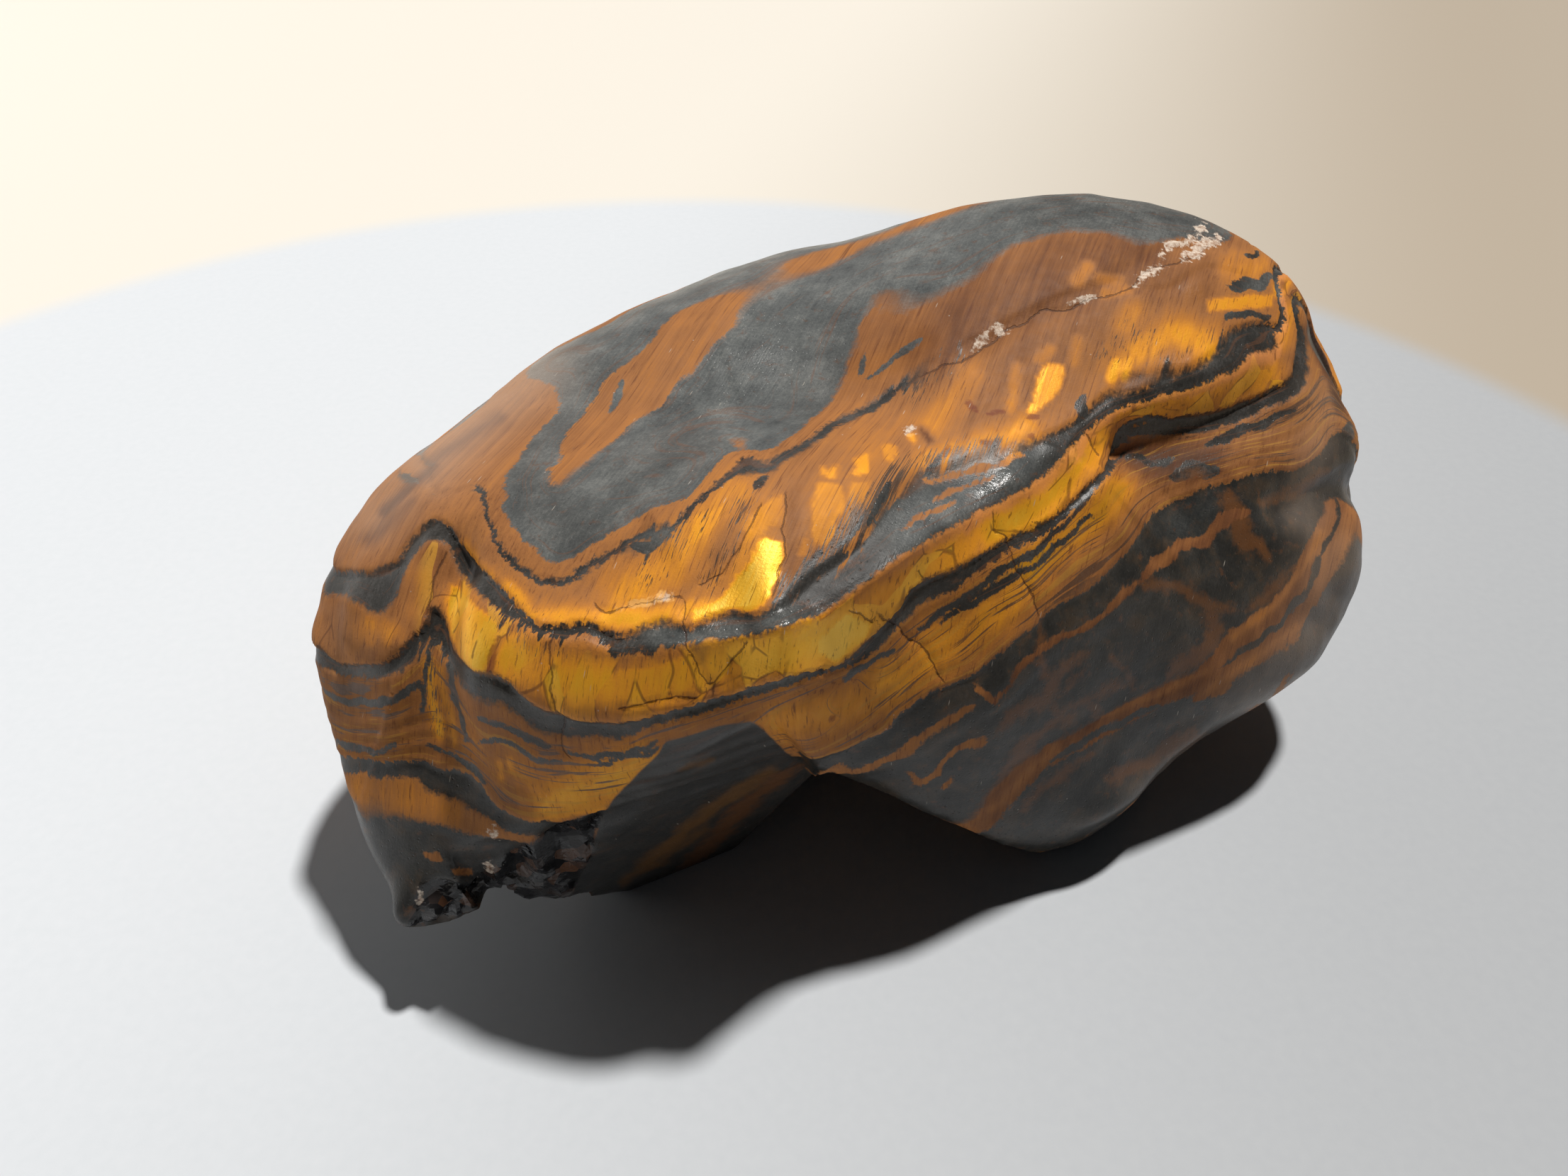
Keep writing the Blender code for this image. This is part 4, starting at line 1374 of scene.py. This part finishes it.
# Colour ramps: (position, display colour).
SILKY_TONES = [
    (0.00, (66, 36, 20)),
    (0.14, (116, 70, 36)),
    (0.29, (166, 108, 56)),
    (0.45, (198, 126, 46)),
    (0.60, (238, 156, 34)),
    (0.75, (250, 176, 38)),
    (0.90, (252, 190, 52)),
    (1.00, (255, 206, 80)),
]
GREY_ORE_TONES = [(0.32, (52, 55, 57)), (0.50, (94, 97, 96)), (0.66, (132, 133, 129))]
BLACK_ORE_TONES = [(0.32, (30, 29, 28)), (0.50, (56, 54, 51)), (0.66, (88, 86, 84))]
LOW_ORE_TONES = [(0.36, (26, 28, 28)), (0.50, (46, 45, 42)), (0.64, (74, 60, 46))]
BREAK_TONES = [(0.30, (12, 12, 14)), (0.68, (46, 45, 46)), (0.90, (90, 62, 45))]
CRUST_TONES = [(0.35, (166, 126, 98)), (0.62, (240, 224, 206))]
CRUST_ON_GOLD = (242, 180, 100)

# Tints: (strength, display colour).
GOLD_LAMINA = (0.45, (214, 160, 60))
FIBROUS_SHADE = (0.30, (112, 66, 18))
OLIVE_BLOCK = (0.36, (236, 182, 52))
DARK_STRAND = (0.62, (104, 54, 24))
RED_STAIN = (0.60, (110, 34, 20))
# the gold band's salmon upper rim: partly its own colour, partly painted highlight
RIM_COLOUR_AND_HIGHLIGHT = (0.6, (232, 150, 84))
RUSTY_ORE = (0.5, (104, 68, 44))
BROWN_LAMINA = (0.40, (112, 74, 50))
WALL_GREY = (0.5, (60, 60, 60))
WALL_BROWN = (0.75, (118, 82, 44))
VEIN_BROWN = (0.62, (122, 76, 38))
FOOT_LINE = (0.6, (36, 24, 16))
BLOCK_SEAM = (0.6, (96, 52, 24))
CRACK_BROWN = (0.62, (62, 34, 20))
# pale scratches of the stone, and pale specks painted as sparkle highlights
PALE_SCRATCH_AND_SPARKLE = (0.45, (214, 204, 190))
# painted reflection: the pale haze of light reflected on the polish
PAINTED_REFLECTION_TINT = (0.34, (206, 184, 166))
LOW_ORE_STRENGTH = 0.60

# The polish: roughness of plain quartz, and how much each thing adds to it.
PLAIN_ROUGHNESS = 0.68
ORE_GLOSS = 0.32
SILK_GLOSS = 0.24
GLINT_GLOSS = 0.17
BREAK_GLOSS = 0.30
CRUST_ROUGHNESS = 0.4
SHADE_ROUGHNESS = 0.30
ROUGHNESS_SWING = 0.24
SILK_METAL = 0.38
STONE_IOR = 1.5
STONE_SPECULAR = 0.36
BUMP_STRENGTH = 0.6
BUMP_HEIGHT = 0.08 * MM


def layer_bands(nodes, level, bands):
    """A mask that is 1 in each band of levels."""
    edge = EDGE / LEVEL_SPAN
    colours = [(0.0, BLACK)]
    for band in bands:
        low, high = ((value - LEVEL_LOW) / LEVEL_SPAN for value in band)
        colours += [(low - edge, BLACK), (low + edge, WHITE), (high - edge, WHITE), (high + edge, BLACK)]
    return nodes.stops(((level - LEVEL_LOW) / LEVEL_SPAN).clamped(), colours)


def stone_places(nodes):
    """The places, levels and noises that all the stone's colours are made from."""
    scaled = nodes.node("ShaderNodeVectorMath", operation="SCALE")
    scaled.inputs["Scale"].default_value = 1.0 / MM
    place = nodes.made(scaled, "Vector", nodes.coordinates())
    stone = SimpleNamespace(place=place)
    stone.x, stone.y, stone.z = nodes.split(place)
    # Fibres stand across the layers. "across" counts millimetres from fibre to fibre.
    stone.across = stone.x * 0.93 - stone.y * 0.37
    stone.level = nodes.attribute("level")
    stone.fibre_place = nodes.vector(stone.across, stone.level * 0.30, stone.z * 0.08)
    stone.fibre = nodes.noise(stone.fibre_place, "fibre")
    stone.strand = nodes.noise(stone.fibre_place, "strand")
    stone.mottle = nodes.noise(place, "mottle")
    stone.grain = nodes.noise(place, "grain")
    stone.ragged = stone.grain.swing(6.0) + stone.strand.swing(6.0)
    # The layers waver a little, and where they fray they mix along the fibres.
    stone.fray = nodes.attribute("fray")
    shift = nodes.noise(place, "slow waver").swing(0.8) + stone.strand.swing(0.5)
    shift = shift + nodes.noise(place, "quick waver").swing(0.9) + stone.grain.swing(0.4)
    shift = shift + stone.fibre.swing(14.0) * stone.fray
    stone.moved = stone.level + shift * nodes.attribute("slope")
    # Thin laminae run along the layers, and show most in the fibrous one under the gold band.
    lamina_place = nodes.vector(stone.across * 0.16, stone.level * 5.0, stone.y * 0.05)
    stone.lamina = nodes.noise(lamina_place, "lamina")
    stone.in_fibrous = nodes.between(stone.moved, *FIBROUS_SPAN)
    stone.in_band = nodes.between(stone.moved, *BAND_SPAN)
    stone.is_low = 1.0 - nodes.step(stone.moved, *LOW_PILE_TOP)
    stone.short_of_end = 1.0 - nodes.step(stone.x, *RIGHT_END)
    return stone


def ragged_mark(nodes, stone, name, low, high):
    """A mark with a ragged edge, 1 inside it."""
    return nodes.step(nodes.attribute(name) + stone.ragged, low, high)


def ore_share(nodes, stone):
    """1 where the stone is iron ore, 0 where it is silky quartz."""
    left_side = 1.0 - nodes.step(stone.x, *LEFT_SIDE_END)
    upper = layer_bands(nodes, stone.moved, GREY_LAYERS)
    # The thin line around the grey patch ends on the right, where the crack begins.
    past_line = nodes.step(stone.x, *THIN_LINE_END) * (1.0 - nodes.step(stone.moved, *THIN_LINE_TOP))
    upper = upper * (1.0 - past_line * nodes.step(stone.moved, *THIN_LINE_FOOT))
    silky_right = layer_bands(nodes, stone.moved, SILKY_LAYERS) * (1.0 - left_side)
    silky_left = layer_bands(nodes, stone.moved, LEFT_SILKY_LAYERS) * left_side
    lower = 1.0 - nodes.most(silky_right, silky_left)
    grey = nodes.most(upper, lower * stone.is_low)
    # Dark laminae and strands run through the quartz.
    bundle_place = nodes.vector(stone.across * 0.12, stone.level, 3.0)
    bundle = nodes.step(nodes.noise(bundle_place, "bundle"), 0.40, 0.62)
    dark_lamina = nodes.step(stone.lamina + bundle * 0.07, 0.60, 0.67) * stone.in_fibrous
    grey = nodes.most(grey, dark_lamina * 0.85)
    frayed = nodes.step(nodes.noise(stone.fibre_place, "fine strand") + stone.fray * 0.36, 0.74, 0.82)
    grey = nodes.most(grey, frayed * 0.85)
    # grey marks, among them dark marks painted as shade in a recess and under the right end
    grey = nodes.most(grey, ragged_mark(nodes, stone, "grey_mark", -1.2, 1.2))
    uneven = nodes.noise(stone.place, "rust edge").swing(12.0)
    grey = grey * (1.0 - nodes.step(nodes.attribute("rust_mark") + stone.ragged + uneven, -2.0, 2.0))
    return nodes.most(grey, stone.wall)


def block_fields(nodes, stone):
    """Tone and nearest seam of the blocks that the gold band is broken into."""
    waver = nodes.noise(stone.place, "block waver").swing(0.9)
    place = nodes.vector(stone.across * 0.42 + waver, stone.level * 0.5, 0.0)
    return nodes.cells(place, 1.0, output="Color"), nodes.cells(place, 1.0, feature="DISTANCE_TO_EDGE")


def gold_share(nodes, stone):
    """How golden the quartz is, from 0 for rust to 1 for the brightest glow."""
    hidden = 1.0 - nodes.step(nodes.attribute("soft_seen"), 0.0, 0.7)
    patchy = nodes.step(nodes.noise(stone.place, "patch"), 0.42, 0.62)
    hidden_gold = stone.in_band * 0.52 * stone.short_of_end + stone.in_fibrous * 0.24 + patchy * 0.28
    # the dull marks take gold away; one of them is the painted shade of a pit
    gold = nodes.attribute("gold") + hidden * hidden_gold - nodes.attribute("dull") * 0.17
    patch_place = nodes.vector(stone.across * 0.30, stone.level * 0.22, stone.z * 0.1)
    swing = stone.fibre.swing(0.55) + stone.mottle.swing(0.35) + stone.strand.swing(0.45)
    swing = swing + nodes.noise(patch_place, "patchwork").swing(0.45)
    swing = (swing + stone.block_tone.swing(0.55) * stone.on_blocks) * (0.55 + gold * 0.45)
    return ((gold + swing) * 0.68 + 0.28).clamped()


def silky_colour(nodes, stone):
    """Quartz from rust to gold, with its laminae, strands and blocks, and a salmon rim on the gold band
    that is partly its own colour and partly painted highlight.
    """
    silky = nodes.stops(stone.gold, SILKY_TONES)
    silky = nodes.tint(silky, (1.0 - nodes.step(stone.lamina, 0.36, 0.44)) * stone.in_fibrous, GOLD_LAMINA)
    silky = nodes.tint(silky, stone.in_fibrous, FIBROUS_SHADE)
    silky = nodes.tint(silky, nodes.step(stone.block_tone, 0.52, 0.62) * stone.on_blocks, OLIVE_BLOCK)
    silky = nodes.tint(silky, 1.0 - nodes.step(stone.strand, 0.30, 0.42), DARK_STRAND)
    silky = nodes.tint(silky, ragged_mark(nodes, stone, "red", -2.0, 2.0), RED_STAIN)
    # the salmon rim: partly the gold's own colour, partly painted highlight where the band's top catches
    # the light
    rim_and_highlight = nodes.between(stone.moved, *RIM_SPAN) * nodes.step(stone.x, *RIM_START)
    return nodes.tint(silky, rim_and_highlight, RIM_COLOUR_AND_HIGHLIGHT)


def ore_colour(nodes, stone):
    """Iron ore: blue-grey and mottled, darker low in the pile, here and there rusty."""
    tone = stone.mottle * 0.42 + stone.grain * 0.22 + stone.strand * 0.18
    tone = tone + nodes.noise(stone.place, "fine ore") * 0.18
    # Pale ore high in the pile, plus painted sheen: the ore is painted paler where the polish shines.
    pale_ore_and_painted_sheen = (nodes.step(stone.moved, *PALE_ORE_START) + nodes.attribute("sheen")).clamped()
    pale_ore_and_painted_sheen = (pale_ore_and_painted_sheen - nodes.attribute("shade")).clamped()
    ore = nodes.mix(pale_ore_and_painted_sheen, nodes.stops(tone, BLACK_ORE_TONES), nodes.stops(tone, GREY_ORE_TONES))
    low_tone = nodes.stops(nodes.noise(stone.place, "low ore"), LOW_ORE_TONES)
    ore = nodes.mix(stone.is_low * LOW_ORE_STRENGTH, ore, low_tone)
    ore = nodes.tint(ore, nodes.step(nodes.noise(stone.place, "rusting"), 0.57, 0.72), RUSTY_ORE)
    ore = nodes.tint(ore, nodes.step(stone.lamina, 0.56, 0.64) * (1.0 - stone.is_low), BROWN_LAMINA)
    ore = nodes.tint(ore, stone.wall, WALL_GREY)
    ore = nodes.tint(ore, stone.wall * ragged_mark(nodes, stone, "wall_stripe", -7.0, 7.0), WALL_BROWN)
    vein_edge = nodes.attribute("vein") + nodes.noise(stone.place, "vein edge").swing(22.0)
    return nodes.tint(ore, nodes.step(vein_edge + stone.ragged, -6.0, 9.0), VEIN_BROWN)


def with_lines(nodes, stone, colour):
    """The dark line at the gold band's foot, the seams of its blocks, and the cracks."""
    foot_line = 1.0 - nodes.step(abs(stone.moved - BAND_FOOT), 0.02, 0.12)
    colour = nodes.tint(colour, foot_line, FOOT_LINE)
    seam = 1.0 - nodes.step(stone.block_seam, 0.008, 0.035)
    seam = seam * nodes.step(nodes.noise(stone.place, "seam"), 0.46, 0.56) * stone.in_band
    colour = nodes.tint(colour, seam, BLOCK_SEAM)
    return nodes.tint(colour, stone.crack, CRACK_BROWN)


def with_break_and_crust(nodes, stone, colour):
    """The black break, the pale crust, the pale scratches, and the painted sparkle highlights and painted
    reflection on the polish.
    """
    facet_tone = nodes.cells(stone.place, 0.8, output="Color")
    colour = nodes.mix(stone.broken, colour, nodes.stops(facet_tone, BREAK_TONES))
    crust_tone = nodes.stops(nodes.noise(stone.place, "crust"), CRUST_TONES)
    crust_tone = nodes.mix(nodes.step(stone.gold, 0.36, 0.46), crust_tone, CRUST_ON_GOLD)
    colour = nodes.mix(stone.crusty, colour, crust_tone)
    # painted highlight: pale specks stand in for sparkles of light on the polish; the scratches are the
    # stone's own
    speck = 1.0 - nodes.step(nodes.cells(stone.place, 0.42), 0.018, 0.034)
    scratch_place = nodes.vector(stone.across * 1.3, stone.z * 0.16, stone.y * 0.16)
    scratch = 1.0 - nodes.step(nodes.cells(scratch_place, 1.0), 0.03, 0.06)
    colour = nodes.tint(colour, nodes.most(speck, scratch), PALE_SCRATCH_AND_SPARKLE)
    # painted reflection: a pale haze laid over the colour
    return nodes.tint(colour, nodes.attribute("haze"), PAINTED_REFLECTION_TINT)


def set_polish(nodes, stone):
    """Gold has a silky metallic glow. Ore takes the best polish, rust the dullest."""
    silk_glow = nodes.step(stone.gold, 0.50, 0.82) * (1.0 - stone.grey)
    nodes.join(silk_glow * SILK_METAL, nodes.shader.inputs["Metallic"])
    polish = PLAIN_ROUGHNESS - stone.grey * ORE_GLOSS - silk_glow * SILK_GLOSS - stone.glint * GLINT_GLOSS
    polish = polish + nodes.noise(stone.place, "polish").swing(ROUGHNESS_SWING)
    polish = polish + stone.crusty * CRUST_ROUGHNESS + nodes.attribute("shade") * SHADE_ROUGHNESS
    nodes.join((polish - stone.broken * BREAK_GLOSS).clamped(), nodes.shader.inputs["Roughness"])
    nodes.shader.inputs["IOR"].default_value = STONE_IOR
    nodes.shader.inputs["Specular IOR Level"].default_value = STONE_SPECULAR


def set_bump(nodes, stone):
    """Fine grain, pits and the edges of the cracks."""
    pits = (1.0 - nodes.step(nodes.cells(stone.place, 1.7), 0.04, 0.22)) * (stone.grey * 0.9 + 0.25)
    height = nodes.noise(stone.place, "relief") * 0.5 + stone.strand * 0.30
    height = height + nodes.noise(stone.place, "hammered") * (stone.glint * 1.6)
    height = height - pits * 0.5 - stone.crack * 1.0
    bump = nodes.node("ShaderNodeBump")
    bump.inputs["Strength"].default_value = BUMP_STRENGTH
    bump.inputs["Distance"].default_value = BUMP_HEIGHT
    nodes.join(height, bump.inputs["Height"])
    nodes.join(Value(nodes, bump.outputs["Normal"]), nodes.shader.inputs["Normal"])


def make_stone_material():
    """Tiger iron: grey ore, rust-brown and golden quartz, from the fields on the skin."""
    nodes = Wiring("tiger_iron")
    stone = stone_places(nodes)
    stone.wall = nodes.step(nodes.attribute("wall"), -2.0, 2.0)
    stone.grey = ore_share(nodes, stone)
    stone.on_blocks = nodes.step(stone.x, *FOLD_END) * stone.in_band * stone.short_of_end
    stone.block_tone, stone.block_seam = block_fields(nodes, stone)
    stone.gold = gold_share(nodes, stone)
    crack_line = 1.0 - nodes.step(abs(nodes.attribute("crack") + stone.grain.swing(5.0)), 0.6, 2.0)
    stone.crack = crack_line * nodes.step(nodes.attribute("crack_near"), 0.1, 0.5)
    stone.broken = nodes.step(nodes.attribute("fracture") + stone.ragged * 1.2, -3.0, 3.0)
    crust_edge = nodes.attribute("crust") + nodes.noise(stone.place, "crust edge").swing(26.0)
    stone.crusty = nodes.step(crust_edge + stone.ragged, -2.0, 3.0) * 0.9
    stone.glint = ragged_mark(nodes, stone, "glint", -16.0, 10.0)
    colour = nodes.mix(stone.grey, silky_colour(nodes, stone), ore_colour(nodes, stone))
    colour = with_lines(nodes, stone, colour)
    colour = with_break_and_crust(nodes, stone, colour)
    nodes.join(colour, nodes.shader.inputs["Base Color"])
    set_polish(nodes, stone)
    set_bump(nodes, stone)
    return nodes.material


# ------------------------------------------------------------------ floor, lights and camera
# The floor is cool and pale inside this circle (metres), and warmer beyond its soft edge.
FLOOR_SIZE = 4.0
PALE_CENTRE = (-0.0254, -0.0122, 0.0)
PALE_RADIUS = 0.1477
PALE_EDGE = 0.004
FLOOR_ROUGHNESS = 0.75
# The floor's colours at the left and right, near by (each with its speckle) and far off; the right and
# front are painted darker as shade, the left lighter as painted light.
NEAR_LEFT = ((214, 219, 224), (220, 224, 229))
NEAR_RIGHT = ((172, 175, 179), (178, 181, 184))
FAR_LEFT = (232, 226, 215)
FAR_RIGHT = (178, 165, 147)

# Lights: name, kind, place and aim in metres, energy, colour, and settings of their own.
LIGHTS = [
    ("key", "SUN", (0.21, 0.225, 0.95), (0.0, 0.0, 0.0), 3.6, (1.0, 0.975, 0.94),
     {"angle": math.radians(4.5)}),
    ("back_fill", "AREA", (-0.35, 0.75, 0.42), (0.0, 0.0, 0.03), 1.0, (1.0, 0.97, 0.93),
     {"shape": "RECTANGLE", "size": 0.9, "size_y": 0.5}),
    ("left_fill", "AREA", (-0.45, 0.10, 0.13), (-0.02, 0.0, 0.02), 0.40, (1.0, 0.98, 0.95),
     {"shape": "RECTANGLE", "size": 0.35, "size_y": 0.25}),
]
SKY_COLOUR = (0.90, 0.94, 1.0, 1.0)
SKY_STRENGTH = 0.024
CLIP_START = 0.005


def make_floor():
    """A wide pale floor, a little warmer far behind the stone, painted lighter at the left and darker
    towards the right and front as painted shade.
    """
    bpy.ops.mesh.primitive_plane_add(size=FLOOR_SIZE, location=(0.0, 0.0, 0.0))
    floor = bpy.context.object
    floor.name = "floor"
    nodes = Wiring("pale_floor")
    coordinates = nodes.coordinates()
    x, y, _ = nodes.split(coordinates)
    reach = nodes.node("ShaderNodeVectorMath", operation="DISTANCE")
    reach.inputs[1].default_value = PALE_CENTRE
    distance = nodes.made(reach, "Value", coordinates)
    behind = nodes.step(distance, PALE_RADIUS - PALE_EDGE, PALE_RADIUS + PALE_EDGE)
    # painted shade: the floor darkens towards the right and the front
    painted_shade_rightward = nodes.step(x - y * 0.35, -0.09, 0.09)
    speck = nodes.noise(coordinates, "floor")
    near_tone = nodes.mix(painted_shade_rightward, nodes.mix(speck, *NEAR_LEFT), nodes.mix(speck, *NEAR_RIGHT))
    far_tone = nodes.mix(painted_shade_rightward, FAR_LEFT, FAR_RIGHT)
    nodes.join(nodes.mix(behind, near_tone, far_tone), nodes.shader.inputs["Base Color"])
    nodes.shader.inputs["Roughness"].default_value = FLOOR_ROUGHNESS
    floor.data.materials.append(nodes.material)


def make_lights():
    """One strong key from high behind the right, and a weak, even fill."""
    for name, kind, place, aim, energy, colour, settings in LIGHTS:
        lamp = bpy.data.lights.new(name, kind)
        lamp.energy = energy
        lamp.color = colour
        for key, value in settings.items():
            setattr(lamp, key, value)
        holder = bpy.data.objects.new(name, lamp)
        holder.location = place
        holder.rotation_euler = (Vector(aim) - Vector(place)).to_track_quat("-Z", "Y").to_euler()
        bpy.context.scene.collection.objects.link(holder)
    world = bpy.data.worlds.new("studio")
    world.use_nodes = True
    backdrop = world.node_tree.nodes["Background"]
    backdrop.inputs["Color"].default_value = SKY_COLOUR
    backdrop.inputs["Strength"].default_value = SKY_STRENGTH
    bpy.context.scene.world = world


def make_camera():
    """The camera that took the photograph."""
    data = bpy.data.cameras.new("camera")
    data.lens = LENS
    data.sensor_width = SENSOR
    data.sensor_fit = "HORIZONTAL"
    data.clip_start = CLIP_START
    camera = bpy.data.objects.new("camera", data)
    camera.location = Vector(EYE) * MM
    camera.rotation_euler = (math.radians(90.0 - LOOK_DOWN), 0.0, 0.0)
    bpy.context.scene.collection.objects.link(camera)
    bpy.context.scene.camera = camera


def build():
    """The whole scene: camera, stone, floor and lights."""
    make_camera()
    skin = make_skin()
    fields = measure_fields(skin)
    carve(skin, fields)
    finish_mesh(skin, fields)
    skin.data.materials.clear()
    skin.data.materials.append(make_stone_material())
    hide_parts("stone")
    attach(skin, "root")
    make_floor()
    make_lights()
    bpy.context.scene.view_settings.view_transform = "Standard"


build()
